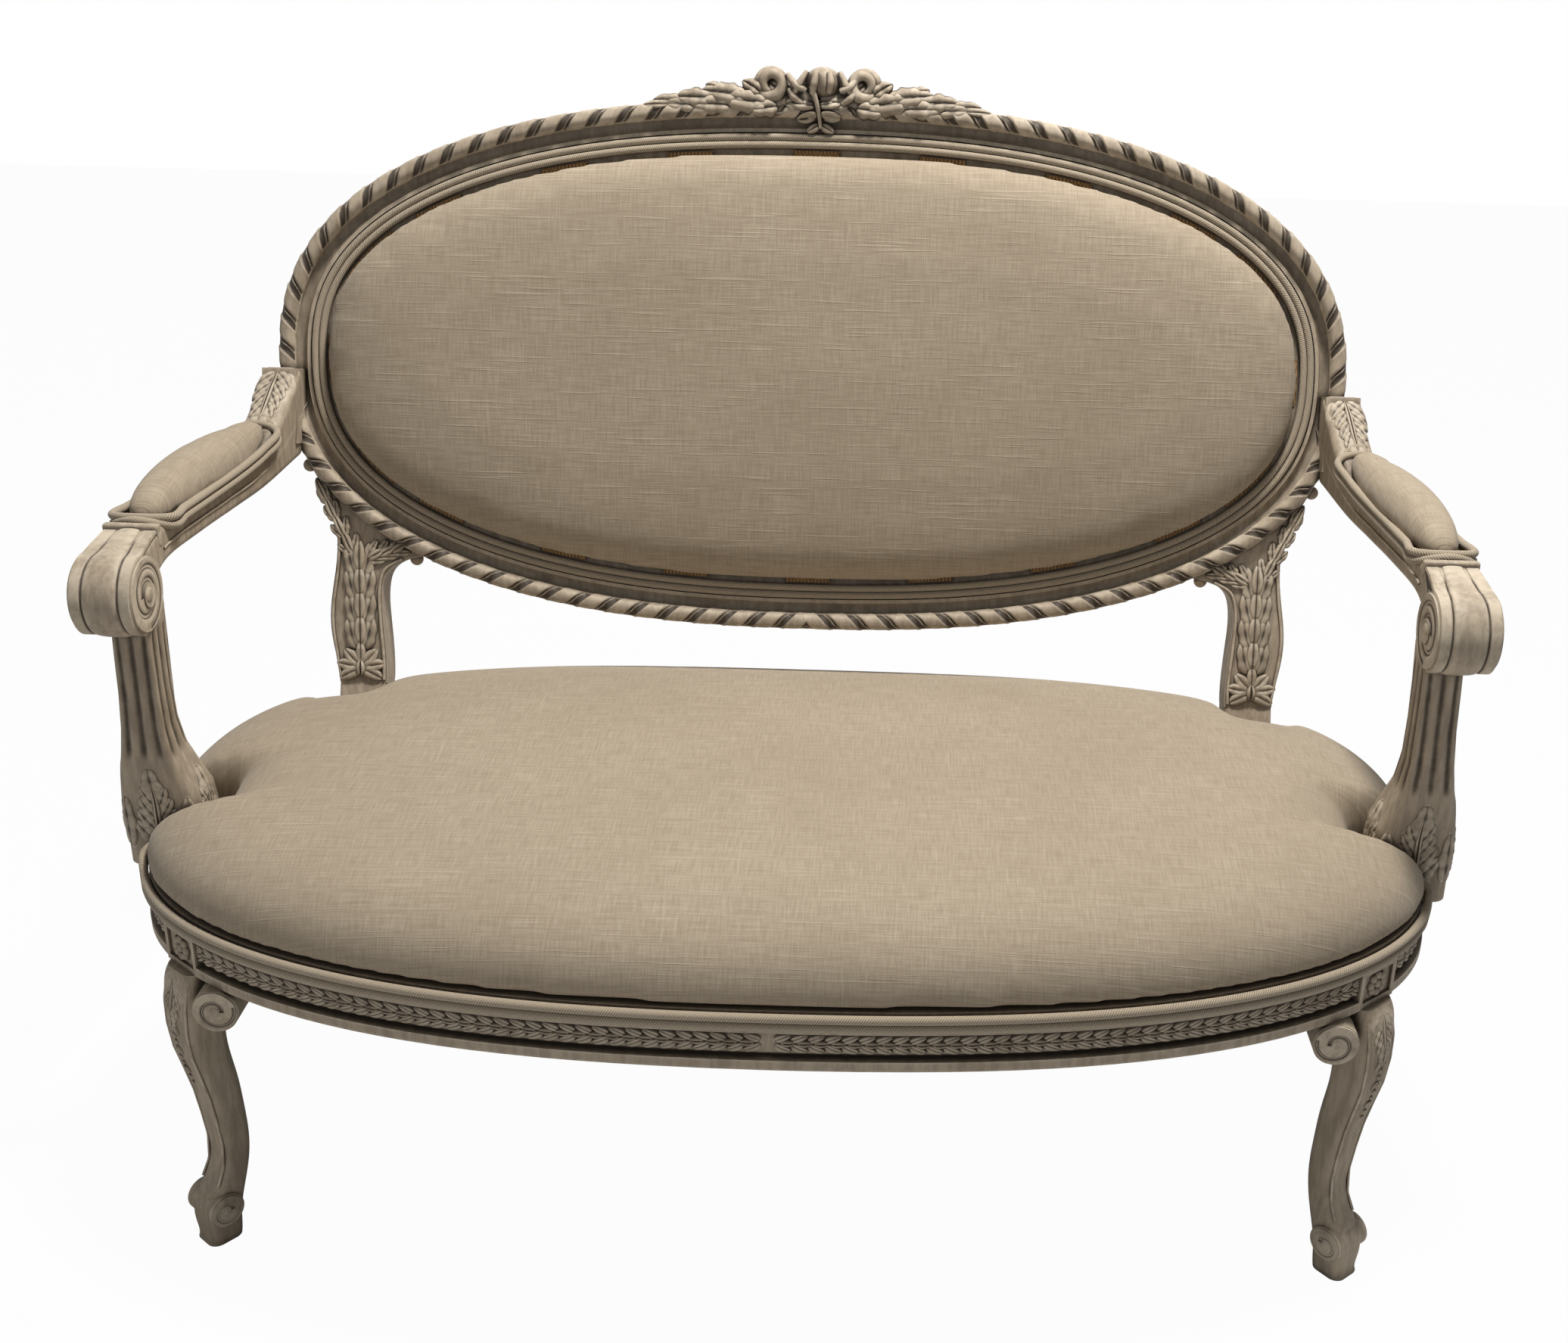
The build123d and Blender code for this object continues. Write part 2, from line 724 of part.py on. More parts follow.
def seat_straps(low):
    area = slab(seat_area(rail_ledge_inset + gap), low - 1, low + 10) - seat_notch(13, 6) - front_corners()
    straps = []
    for i in range(9):
        run = Pos((i - 4) * 112, 330, low + strap_thickness / 2) * Box(strap_width, 900, strap_thickness)
        straps += (area & run).solids()
    for i in range(5):
        level = low + 1.5 * strap_thickness
        run = Pos(0, 90 + i * 112, level) * Box(1600, strap_width, strap_thickness)
        straps += (area & run).solids()
    return [s for s in straps if s.volume > 3000]


def seat_burlap(low):
    cloth = slab(seat_area(rail_ledge_inset + gap), low, low + burlap_thickness)
    return one_solid(cloth - seat_notch(13, 6) - front_corners())


def dust_cover():
    cloth = slab(seat_area(10.0), rail_bottom - 1.0, rail_bottom)
    for block in (front_block(60, front_block_in + 3, front_block_half + 3, 290, 310), rear_block(3, 290, 310)):
        cloth -= block
        cloth -= mirror_x(block)
    cloth -= box_between(-900, -498, -100, 170, 290, 310)
    cloth -= box_between(498, 900, -100, 170, 290, 310)
    return one_solid(cloth)


def welt_run(points, shares, straight=False):
    """Twin cords, one over the other, along a path of plan points with their rise."""
    cords = []
    low = rail_shoulder + gap + welt_radius
    for level in (low, low + 2 * welt_radius + gap):
        path = Spline(*[Vector(x, y, level + rise) for x, y, rise in points])
        cords.append(tube(path, welt_radius, shares, straight))
    return cords


def welt_inset(side):
    return rail_rebate - welt_radius - gap - welt_stand_off[side]


def welt_curl():
    """Left end of the front cords: up over the rail and in round the foot of the arm post."""
    z, x, y, width, depth = post_curve[0]
    inner_x = x + width / 2 + welt_radius + 3.6
    front_y = y - depth / 2 - welt_radius - 0.9
    points = [
        (inner_x, y + 24, 22.0),
        (inner_x, y + 6, 22.0),
        (inner_x - 0.2, y - 14, 21.5),
        (inner_x - 3.5, front_y + 8.5, 21.0),
        (inner_x - 11.5, front_y + 1.8, 20.5),
        (inner_x - 23, front_y, 20.0),
        (inner_x - 35, front_y - 0.4, 19.5),
        (inner_x - 46, front_y - 2.6, 19.0),
        (inner_x - 54, front_y - 8.0, 16.0),
        (inner_x - 57.6, front_y - 16.5, 10.0),
        (*seat_point(welt_front_start, welt_inset("front")), 2.0),
    ]
    return welt_run(points, even(0, 1, 18), straight=True)


def welt_front():
    """Front cords along the rail, with a curl at each end."""
    angles = even(welt_front_start + 0.5, 539.5 - welt_front_start, 40)
    points = [(*seat_point(angle, welt_inset("front")), 0.0) for angle in angles]
    curls = welt_curl()
    return welt_run(points, even(0, 1, 30)) + curls + [mirror_x(curl) for curl in curls]


def welt_side():
    points = [(*seat_point(angle, welt_inset("side")), 0.0) for angle in even(179.7, 142.5, 18)]
    return welt_run(points, even(0, 1, 8))


def welt_rear():
    points = [(*seat_point(angle, welt_inset("rear")), 0.0) for angle in even(51.5, 128.5, 24)]
    return welt_run(points, even(0, 1, 12))


# Arms


def arm_at(y):
    """Arm station interpolated at a depth."""
    rows = arm_stations
    for first, second in zip(rows, rows[1:]):
        if second[0] <= y <= first[0]:
            share = (first[0] - y) / (first[0] - second[0])
            return [a + (b - a) * share for a, b in zip(first, second)]
    return list(rows[-1] if y < rows[-1][0] else rows[0])


def arm_section(row, grow, lean):
    y, x, top, width, depth = row
    plane = Plane(origin=(x, y, top - depth / 2), x_dir=(1, 0, 0), z_dir=(0, math.cos(lean), -math.sin(lean)))
    return plane * RectangleRounded(width + 2 * grow, depth + 2 * grow, 9)


def arm_loft(grow):
    """Swept body of the left arm from the frame to the scroll."""
    leans = [math.radians(a) for a in (back_lean, 20, 24, 16, 6, 1, 0, -2, 4, 12, 14)]
    return loft([arm_section(row, grow, -lean) for row, lean in zip(arm_stations, leans)])


def arm_end_cut():
    """Everything behind the front face of the frame bead."""
    face = Pos(-600, 0) * Rectangle(400, 600)
    return back_slab(face, -120, bead_height + gap)


def arm():
    """Left arm: swept body, down-turned scroll and the tenon into the frame."""
    body = arm_loft(0)
    x, y, z = scroll_centre
    scroll = Pos(x, y, z) * Rot(0, 90, 0) * Cylinder(scroll_radius, scroll_width)
    eye = Pos(x, y + 2, z - 1) * Rot(0, 90, 0) * Cylinder(12, scroll_width + 6)
    top = post_curve[-1]
    neck = loft([
        rounded_section(top[1], top[2], post_joint_z, top[3], top[4], 0, 0.22),
        rounded_section(x + 2, top[2] + 6, post_joint_z + 36, 46, 52, 0, 0.22),
    ])
    body = body + scroll + eye
    body -= arm_end_cut()
    body += arm_tenon(0) & box_between(-700, -500, 600, 720, 600, 800)
    body -= box_between(-700, -500, y - 12, y + 90, 500, post_joint_z)
    body += neck
    for hole in post_dowels(dowel_radius + slip, slip):
        body -= hole
    return one_solid(body)


def arm_pad():
    """Left arm pad, crowned and drawn in at its ends."""
    rows = []
    for i in range(9):
        share = i / 8
        y = arm_pad_back + (arm_pad_front - arm_pad_back) * share
        station = arm_at(y)
        rise = math.sin(math.pi * min(max(share, 0.07), 0.93)) ** 0.45
        rows.append((y, station[1], station[2], station[3] - 1 + 2 * arm_pad_overhang * rise, arm_pad_height * rise))
    sections = []
    for y, x, top, width, height in rows:
        plane = Plane(origin=(x, y, top - 8), x_dir=(1, 0, 0), z_dir=(0, -1, 0))
        low = Line((-width / 2, 0), (width / 2, 0))
        right = Line((width / 2, 0), (width / 2, 14))
        over = ThreePointArc((width / 2, 14), (0, 8 + height), (-width / 2, 14))
        left = Line((-width / 2, 14), (-width / 2, 0))
        sections.append(plane * make_face(low + right + over + left))
    pad = loft(sections) - arm_loft(gap)
    for cord in arm_cords(arm_welt_radius + gap):
        pad -= cord
    return one_solid(pad)


def arm_cords(radius):
    """Two cords round the foot of the left arm pad."""
    cords = []
    out = arm_welt_radius + gap + 0.3
    over = arm_welt_radius + gap + 0.5
    for level, reach in ((-4.6, 14.0), (3.8, 5.0)):
        rows = [arm_at(arm_pad_back - 4 + (arm_pad_front - arm_pad_back + 8) * i / 8) for i in range(9)]
        far_side = [Vector(r[1] - r[3] / 2 - out, r[0], r[2] + level) for r in rows]
        near_side = [Vector(r[1] + r[3] / 2 + out, r[0], r[2] + level) for r in rows]
        front = arm_at(arm_pad_front - reach)
        back = arm_at(arm_pad_back + reach)
        front_mid = [Vector(front[1], front[0], front[2] + over)]
        back_mid = [Vector(back[1], back[0], back[2] + over)]
        path = Spline(*far_side, *front_mid, *reversed(near_side), *back_mid, periodic=True)
        cords.append(looped_tube(path, radius, 24))
    return cords


def arm_welt():
    body = arm_loft(gap)
    return [one_solid(cord - body) for cord in arm_cords(arm_welt_radius)]


def arm_post():
    """Left arm post, flaring to its leaf-carved foot."""
    sections = [rounded_section(x, y, z, w, d, 0, 0.22) for z, x, y, w, d in post_curve]
    body = loft(sections)
    for hole in post_dowels(dowel_radius + slip, slip) + post_screws(screw_radius + slip, slip):
        body -= hole
    return one_solid(body)


def post_dowels(radius, grow):
    x, y = post_curve[-1][1], post_curve[-1][2]
    pins = []
    for shift in (-10.0, 10.0):
        start = Vector(x, y + shift, post_joint_z - 22 - grow)
        pins.append(rod(start, Vector(0, 0, 1), 34 + 2 * grow, radius - 1))
    return pins


def post_screws(radius, grow):
    """Screws up through the side rail into the foot of the post."""
    x, y, low = post_curve[0][1], post_curve[0][2], post_curve[0][0]
    pins = []
    for shift in (-14.0, 14.0):
        start = Vector(x - 4, y + shift, rail_bottom + 6 - grow)
        pins.append(rod(start, Vector(0, 0, 1), 58 + 2 * grow, radius))
        pins[-1] += rod(start, Vector(0, 0, 1), 4 + grow, screw_head_radius + radius - screw_radius)
    return pins


def group(shapes):
    return Compound(children=[s for shape in shapes for s in shape.solids()])


def both_sides(shapes):
    """Left hand pieces together with their mirror images."""
    return group(list(shapes) + [mirror_x(shape) for shape in shapes])


def rail_nodes():
    front, back, left, right = seat_rails()
    holes = seat_dowels(dowel_radius + slip, slip)
    left_holes = post_screws(screw_radius + slip, slip) + block_screws(screw_radius + slip, slip)
    holes += left_holes + [mirror_x(hole) for hole in left_holes]
    nodes = {}
    for name, rail in (("front", front), ("back", back), ("left", left), ("right", right)):
        for hole in holes:
            rail = rail - hole
        nodes["seat_rail_" + name] = one_solid(rail)
    return nodes


def frame_nodes():
    top, bottom, left, right = frame_pieces()
    return {
        "back_rail_top": top,
        "back_rail_bottom": bottom,
        "back_side_left": left,
        "back_side_right": right,
        "back_frame_dowels": group(frame_dowels(dowel_radius, 0) + stile_dowels(dowel_radius, 0)),
        "crest_carving": crest(),
    }


def left_hand_nodes():
    """Pieces that exist once on each side, modelled on the left."""
    return {
        "front_leg": front_leg(),
        "rear_leg": rear_leg(),
        "arm": arm(),
        "arm_post": arm_post(),
        "arm_pad": arm_pad(),
        "arm_welt": group(arm_welt()),
        "seat_welt_side": group(welt_side()),
    }


def upholstery_nodes():
    seat_low = rail_ledge_top + 2 * strap_thickness
    return {
        "back_webbing": group(back_straps(ledge_level)),
        "back_cushion": back_cushion(),
        "back_cover_rear": back_cover_rear(),
        "back_welt": group(ring_cord(ledge_level + back_welt_radius + gap)),
        "seat_webbing": group(seat_straps(rail_ledge_top)),
        "seat_burlap": seat_burlap(seat_low),
        "seat_cushion": seat_cushion(),
        "seat_welt_front": group(welt_front()),
        "seat_welt_rear": group(welt_rear()),
        "dust_cover": dust_cover(),
    }


def fastener_nodes():
    return {
        "corner_blocks": group(corner_blocks()),
        "corner_block_screws": both_sides(block_screws(screw_radius, 0)),
        "seat_rail_dowels": group(seat_dowels(dowel_radius, 0)),
        "arm_post_dowels": both_sides(post_dowels(dowel_radius, 0)),
        "arm_post_screws": both_sides(post_screws(screw_radius, 0)),
    }


def build():
    """All nodes, stood on the floor and centred on the origin in plan."""
    nodes = {**rail_nodes(), **frame_nodes(), **upholstery_nodes(), **fastener_nodes()}
    for name, shape in left_hand_nodes().items():
        nodes[name + "_left"] = shape
        nodes[name + "_right"] = mirror_x(shape)
    boxes = [shape.bounding_box() for shape in nodes.values()]
    middle = (min(b.min.Y for b in boxes) + max(b.max.Y for b in boxes)) / 2
    return {name: Pos(0, -middle, 0) * shape for name, shape in nodes.items()}


for node_name, node_shape in build().items():
    export_step(node_shape, "parts/" + node_name + ".step")
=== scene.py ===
import bisect
import math

import bmesh
import bpy
from mathutils import Matrix, Vector


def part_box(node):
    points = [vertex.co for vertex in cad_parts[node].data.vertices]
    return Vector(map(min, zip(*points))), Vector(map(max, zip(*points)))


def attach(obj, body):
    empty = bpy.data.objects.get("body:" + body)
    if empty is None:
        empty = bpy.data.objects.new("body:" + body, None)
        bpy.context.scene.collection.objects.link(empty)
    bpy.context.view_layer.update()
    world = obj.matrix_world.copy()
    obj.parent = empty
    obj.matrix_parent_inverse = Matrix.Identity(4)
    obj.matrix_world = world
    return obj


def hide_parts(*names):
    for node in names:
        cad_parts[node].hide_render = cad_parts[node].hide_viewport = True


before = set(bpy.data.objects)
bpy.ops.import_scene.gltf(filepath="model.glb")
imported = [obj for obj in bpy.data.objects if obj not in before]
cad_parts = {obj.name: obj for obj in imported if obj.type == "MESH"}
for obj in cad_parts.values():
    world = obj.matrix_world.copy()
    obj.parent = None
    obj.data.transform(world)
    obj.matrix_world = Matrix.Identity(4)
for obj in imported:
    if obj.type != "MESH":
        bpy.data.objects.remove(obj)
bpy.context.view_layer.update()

# Lengths are millimetres in the maker's frame: x to the right, y to the back from the front cord,
# z up from the floor. spot() turns them into metres in the frame that the model stands in.
MM = 0.001
LIP_FRONT = 4.0
ROW_SHIFT = LIP_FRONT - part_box("seat_rail_front")[0].y / MM

# Seat plan: a bow-fronted oval, widest at SEAT_WIDE_Y. Front and back halves: (depth, power).
SEAT_HALF = 648.0
SEAT_WIDE_Y = 330.0
SEAT_FRONT = (324.0, 2.4)
SEAT_BACK = (335.0, 3.0)
RAIL_BOTTOM = 303.0
SHOULDER = 344.0
RAIL_TOP = 362.0
# Heights of the seat cushion, with how far each level draws in from the outline.
SEAT_CROWN = [
    (362.6, -1), (372, -1.5), (387, 2), (401, 9.5), (413, 24), (424, 46), (433, 78), (440, 124), (445, 190),
    (447, 250),
]

# Oval back, leaning back from the sitter. OVAL is (half width, half height, power).
LEAN = math.radians(14.49)
BACK_Y = 673.3
BACK_Z = 768.5
OVAL = (597.0, 291.0, 2.37)
PAD_INSET = 50.8
# Heights of the back pad out of the frame's face, with the draw of each level.
BACK_CROWN = [(-5.4, 0), (2, 0), (10, 4.5), (18, 16), (24, 36), (29, 68), (33, 120)]

# Cords.
SEAT_CORD = 4.2
CORD_GAP = 0.3
BACK_CORD = 3.9
BACK_CORD_INSETS = (37.3, 45.4)
ARM_CORD = 4.0
# The lower and the upper cord of an arm pad: height over the arm and reach past the pad's ends.
ARM_CORD_LAYERS = ((-4.6, 14), (3.8, 5))

# Arms: (y, x of centreline, z of top, width, depth) from the back frame to the front.
ARM_ROWS = [
    (664, -592, 762, 42, 93), (640, -594, 744, 42, 84), (612, -598, 722, 42, 66), (580, -604, 702, 42, 50),
    (540, -611, 690, 42, 42), (480, -619, 686, 43, 39), (420, -624, 686, 44, 38), (360, -627, 688, 46, 38),
    (310, -628, 690, 50, 40), (270, -628, 684, 54, 44), (252, -628, 680.5, 57, 50),
]
# Lean of each arm row in degrees, and the front and back ends of the pad along the arm.
ARM_LEANS = (14.49, 20, 24, 16, 6, 1, 0, -2, 4, 12, 14)
ARM_PAD = (322.0, 585.0)
# Scroll at the arm's front: (x, y, z, radius, width).
SCROLL = (-627.5, 246.0, 643.0, 37.0, 57.0)

# Front legs: (z, outward shift, sideways drift, width), set on the diagonal.
LEG_AT = (562.0, 149.0)
LEG_TURN = 40.0
LEG_OUT = (-math.sin(math.radians(LEG_TURN)), -math.cos(math.radians(LEG_TURN)))
LEG_ROWS = [
    (0, 20, 16, 36), (20, 19, 16, 38), (40, 17, 16, 40), (60, 9, 16, 37), (83, -1, 15, 32.5), (110, -4, 14, 33),
    (137, -3, 12, 35), (164, -1, 10, 37), (191, 3, 8, 39.5), (217, 7, 6, 42.5), (244, 7, 4, 46), (268, 4, 2, 48),
    (303, -5, 0, 47),
]

# Arm posts: (z, x, y, width, depth).
POST_ROWS = [
    (346, -625, 294, 76, 68), (370, -625, 294, 76, 68), (395, -624, 292, 79, 66), (420, -624, 288, 78, 60),
    (445, -626, 282, 66, 54), (468, -627, 277, 55, 49), (500, -625, 271, 46, 44), (540, -622, 266, 42, 42),
    (580, -620, 264, 40, 44), (618, -618, 264, 38, 48),
]


def spot(x, y, z):
    return Vector((x * MM, (y - ROW_SHIFT) * MM, z * MM))


def on_back(x, s, h):
    """Point of the leaning back: x across, s up its slope from the middle, h forward of the frame's face."""
    return spot(x, BACK_Y + s * math.sin(LEAN) - h * math.cos(LEAN), BACK_Z + s * math.cos(LEAN) + h * math.sin(LEAN))


def superellipse(half_x, half_y, power, angle):
    """Point and outward normal of the outline at a parameter angle in degrees."""
    c, s = math.cos(math.radians(angle)), math.sin(math.radians(angle))
    x = half_x * math.copysign(abs(c) ** (2 / power), c)
    y = half_y * math.copysign(abs(s) ** (2 / power), s)
    nx = math.copysign(abs(x / half_x) ** (power - 1) / half_x, c)
    ny = math.copysign(abs(y / half_y) ** (power - 1) / half_y, s)
    size = math.hypot(nx, ny)
    return x, y, nx / size, ny / size


def oval_edge(angle, inset):
    x, y, nx, ny = superellipse(*OVAL, angle)
    return x - nx * inset, y - ny * inset


def seat_edge(angle, inset):
    depth, power = SEAT_FRONT if angle % 360 > 180 else SEAT_BACK
    x, y, nx, ny = superellipse(SEAT_HALF, depth, power, angle)
    return x - nx * inset, SEAT_WIDE_Y + y - ny * inset


def even(start, end, count):
    return [start + (end - start) * i / count for i in range(count + 1)]


def ease(value, low, high):
    t = min(max((value - low) / (high - low), 0), 1)
    return t * t * (3 - 2 * t)


def smooth_route(points, steps=8, closed=False):
    """A smooth line through given points."""
    count = len(points)
    made = []
    for i in range(count if closed else count - 1):
        if closed:
            a, b, c, d = (points[(i + k) % count] for k in (-1, 0, 1, 2))
        else:
            a, b, c, d = (points[min(max(i + k, 0), count - 1)] for k in (-1, 0, 1, 2))
        for step in range(steps):
            t = step / steps
            square = (2 * a - 5 * b + 4 * c - d) * t * t
            cube = (3 * b - a - 3 * c + d) * t ** 3
            made.append(0.5 * (2 * b + (c - a) * t + square + cube))
    if not closed:
        made.append(points[-1].copy())
    return made


def spaced(points, step, closed=False):
    """The same line with its points a step apart, and its length."""
    line = points + [points[0]] if closed else points
    reach = [0.0]
    for a, b in zip(line, line[1:]):
        reach.append(reach[-1] + (b - a).length)
    count = max(2, round(reach[-1] / step))
    made, k = [], 0
    for i in range(count if closed else count + 1):
        at = reach[-1] * i / count
        while k < len(reach) - 2 and reach[k + 1] < at:
            k += 1
        span = reach[k + 1] - reach[k]
        made.append(line[k].lerp(line[k + 1], (at - reach[k]) / span if span else 0))
    return made, reach[-1]


# Pieces


def piece_from(name, mesh):
    piece = bpy.data.objects.new(name, mesh)
    bpy.context.scene.collection.objects.link(piece)
    return piece


def pick(piece):
    bpy.ops.object.select_all(action="DESELECT")
    piece.select_set(True)
    bpy.context.view_layer.objects.active = piece


def outward(piece):
    """Merges doubled points and turns the faces outward."""
    pick(piece)
    bpy.ops.object.mode_set(mode="EDIT")
    bpy.ops.mesh.select_all(action="SELECT")
    bpy.ops.mesh.remove_doubles()
    bpy.ops.mesh.normals_make_consistent(inside=False)
    bpy.ops.object.mode_set(mode="OBJECT")
    return piece


def modified(piece, kind, **settings):
    """A modifier, set and applied."""
    pick(piece)
    modifier = piece.modifiers.new(kind.lower(), kind)
    for key, value in settings.items():
        setattr(modifier, key, value)
    bpy.ops.object.modifier_apply(modifier=modifier.name)
    return piece


def formed(name, columns, rows, form, closed=True, shaded=False):
    """A grid laid on a surface: form(u, v) gives its point, u and v run from 0 to 1.

    Where it is shaded, form gives the point and how dark its recess is painted, as painted shade.
    """
    bpy.ops.object.select_all(action="DESELECT")
    bpy.ops.mesh.primitive_grid_add(x_subdivisions=columns, y_subdivisions=rows, size=1)
    piece = bpy.context.object
    piece.name = name
    mesh = piece.data
    mesh.name = name
    recess = []
    for vertex in mesh.vertices:
        place = form(vertex.co.x + 0.5, vertex.co.y + 0.5)
        vertex.co = place[0] if shaded else place
        recess.append(place[1] if shaded else 0.0)
    if shaded:
        mesh.attributes.new("recess", "FLOAT", "POINT").data.foreach_set("value", recess)
    work = bmesh.new()
    work.from_mesh(mesh)
    bmesh.ops.remove_doubles(work, verts=work.verts, dist=2e-6)
    if closed:
        bmesh.ops.holes_fill(work, edges=[e for e in work.edges if e.is_boundary], sides=0)
    bmesh.ops.recalc_face_normals(work, faces=work.faces)
    work.to_mesh(mesh)
    work.free()
    return piece


def cord(name, routes, radius, sides=10, closed=False, ends=True):
    """Round cords along lines, with a map whose u runs along and v round, in metres."""
    work = bmesh.new()
    layer = work.loops.layers.uv.new("UVMap")
    for route in routes:
        rings, reach, across = [], 0.0, None
        count = len(route)
        for i, here in enumerate(route):
            ahead = route[(i + 1) % count] if closed else route[min(i + 1, count - 1)]
            behind = route[i - 1] if closed or i else route[0]
            heading = (ahead - behind).normalized()
            if across is None:
                across = heading.orthogonal().normalized()
            across = (across - heading * across.dot(heading)).normalized()
            up = heading.cross(across)
            size = (radius(i / (count - 1)) if callable(radius) else radius) * MM
            ring = []
            for k in range(sides):
                turn = 2 * math.pi * k / sides
                ring.append(work.verts.new(here + (across * math.cos(turn) + up * math.sin(turn)) * size))
            rings.append((ring, reach, size))
            reach += (ahead - here).length
        pairs = list(zip(rings, rings[1:])) + ([(rings[-1], (rings[0][0], reach, rings[0][2]))] if closed else [])
        for (low, at, size), (high, to, _) in pairs:
            for k in range(sides):
                j = (k + 1) % sides
                face = work.faces.new((low[k], low[j], high[j], high[k]))
                round_by = 2 * math.pi * size / sides
                for loop, uv in zip(face.loops, ((at, k), (at, k + 1), (to, k + 1), (to, k))):
                    loop[layer].uv = (uv[0], uv[1] * round_by)
        if not closed and ends:
            work.faces.new(list(reversed(rings[0][0])))
            work.faces.new(rings[-1][0])
    bmesh.ops.recalc_face_normals(work, faces=work.faces)
    mesh = bpy.data.meshes.new(name)
    work.to_mesh(mesh)
    work.free()
    return piece_from(name, mesh)


def mirrored(piece):
    """The copy of a left hand piece for the right, or the other way round."""
    first, second = ("left", "right") if "left" in piece.name else ("right", "left")
    mesh = piece.data.copy()
    mesh.transform(Matrix.Scale(-1, 4, (1, 0, 0)))
    mesh.flip_normals()
    mesh.name = piece.name.replace(first, second)
    return piece_from(mesh.name, mesh)


def dressed(piece, material, angle=35, replaces=()):
    """Gives a finished piece its surface and its place in the frame."""
    piece.data.materials.clear()
    piece.data.materials.append(material)
    pick(piece)
    bpy.ops.object.shade_smooth_by_angle(angle=math.radians(angle))
    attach(piece, "root")
    if replaces:
        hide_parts(*replaces)
    return piece


def pair(piece, material, angle=35, node=""):
    """Dresses a piece and its mirrored copy. node is the start of the nodes' names that the two replace."""
    for side in (piece, mirrored(piece)):
        end = side.name.rsplit("_", 1)[-1]
        dressed(side, material, angle, [node + end] if node else ())


# Surfaces


def tone(red, green, blue):
    """A colour written as on screen, from 0 to 255."""
    shares = [c / 255 for c in (red, green, blue)]
    return tuple(((c + 0.055) / 1.055) ** 2.4 if c > 0.04 else c / 12.92 for c in shares) + (1.0,)


class Bench:
    """Sets nodes side by side in a tree and joins them."""

    def __init__(self, tree):
        self.tree = tree

    def node(self, kind, **settings):
        made = self.tree.nodes.new(kind)
        made.location = (180 * len(self.tree.nodes), 0)
        for key, value in settings.items():
            setattr(made, key, value)
        return made

    def join(self, source, target):
        self.tree.links.new(source, target)

    def fill(self, target, value):
        if hasattr(value, "is_linked"):
            self.join(value, target)
        else:
            target.default_value = value

    def math(self, operation, *values, clamp=False):
        made = self.node("ShaderNodeMath", operation=operation, use_clamp=clamp)
        for target, value in zip(made.inputs, values):
            self.fill(target, value)
        return made.outputs[0]

    def stretch(self, vector, scale, turn=(0, 0, 0)):
        made = self.node("ShaderNodeMapping")
        self.join(vector, made.inputs["Vector"])
        made.inputs["Scale"].default_value = scale
        made.inputs["Rotation"].default_value = turn
        return made.outputs[0]

    def noise(self, vector, scale, detail=3.0, rough=0.5):
        made = self.node("ShaderNodeTexNoise")
        self.join(vector, made.inputs["Vector"])
        made.inputs["Scale"].default_value = scale
        made.inputs["Detail"].default_value = detail
        made.inputs["Roughness"].default_value = rough
        return made.outputs["Fac"]

    def step(self, value, low, high, start=0.0, end=1.0):
        made = self.node("ShaderNodeMapRange", interpolation_type="SMOOTHSTEP")
        self.fill(made.inputs["Value"], value)
        for key, number in (("From Min", low), ("From Max", high), ("To Min", start), ("To Max", end)):
            made.inputs[key].default_value = number
        return made.outputs[0]

    def mix(self, share, first, second, blend="MIX"):
        made = self.node("ShaderNodeMix", data_type="RGBA", blend_type=blend)
        self.fill(made.inputs["Factor"], share)
        self.fill(made.inputs[6], first)
        self.fill(made.inputs[7], second)
        return made.outputs[2]

    def bump(self, height, strength, distance):
        made = self.node("ShaderNodeBump")
        made.inputs["Strength"].default_value = strength
        made.inputs["Distance"].default_value = distance
        self.join(height, made.inputs["Height"])
        return made.outputs[0]


def effect(name, takes, gives):
    """A group of nodes with named sockets."""
    group = bpy.data.node_groups.new(name, "ShaderNodeTree")
    for title, kind, value in takes:
        socket = group.interface.new_socket(title, in_out="INPUT", socket_type=kind)
        if value is not None:
            socket.default_value = value
    for title, kind in gives:
        group.interface.new_socket(title, in_out="OUTPUT", socket_type=kind)
    bench = Bench(group)
    return group, bench, bench.node("NodeGroupInput").outputs, bench.node("NodeGroupOutput").inputs


def surface(name):
    """A new material with its shader, on a bench."""
    material = bpy.data.materials.new(name)
    material.use_nodes = True
    material.node_tree.nodes.clear()
    bench = Bench(material.node_tree)
    shader = bench.node("ShaderNodeBsdfPrincipled")
    out = bench.node("ShaderNodeOutputMaterial")
    bench.join(shader.outputs[0], out.inputs[0])
    return material, bench, shader


def placed(bench, group, **values):
    made = bench.node("ShaderNodeGroup")
    made.node_tree = group
    for key, value in values.items():
        bench.fill(made.inputs[key.replace("_", " ").capitalize()], value)
    return made.outputs


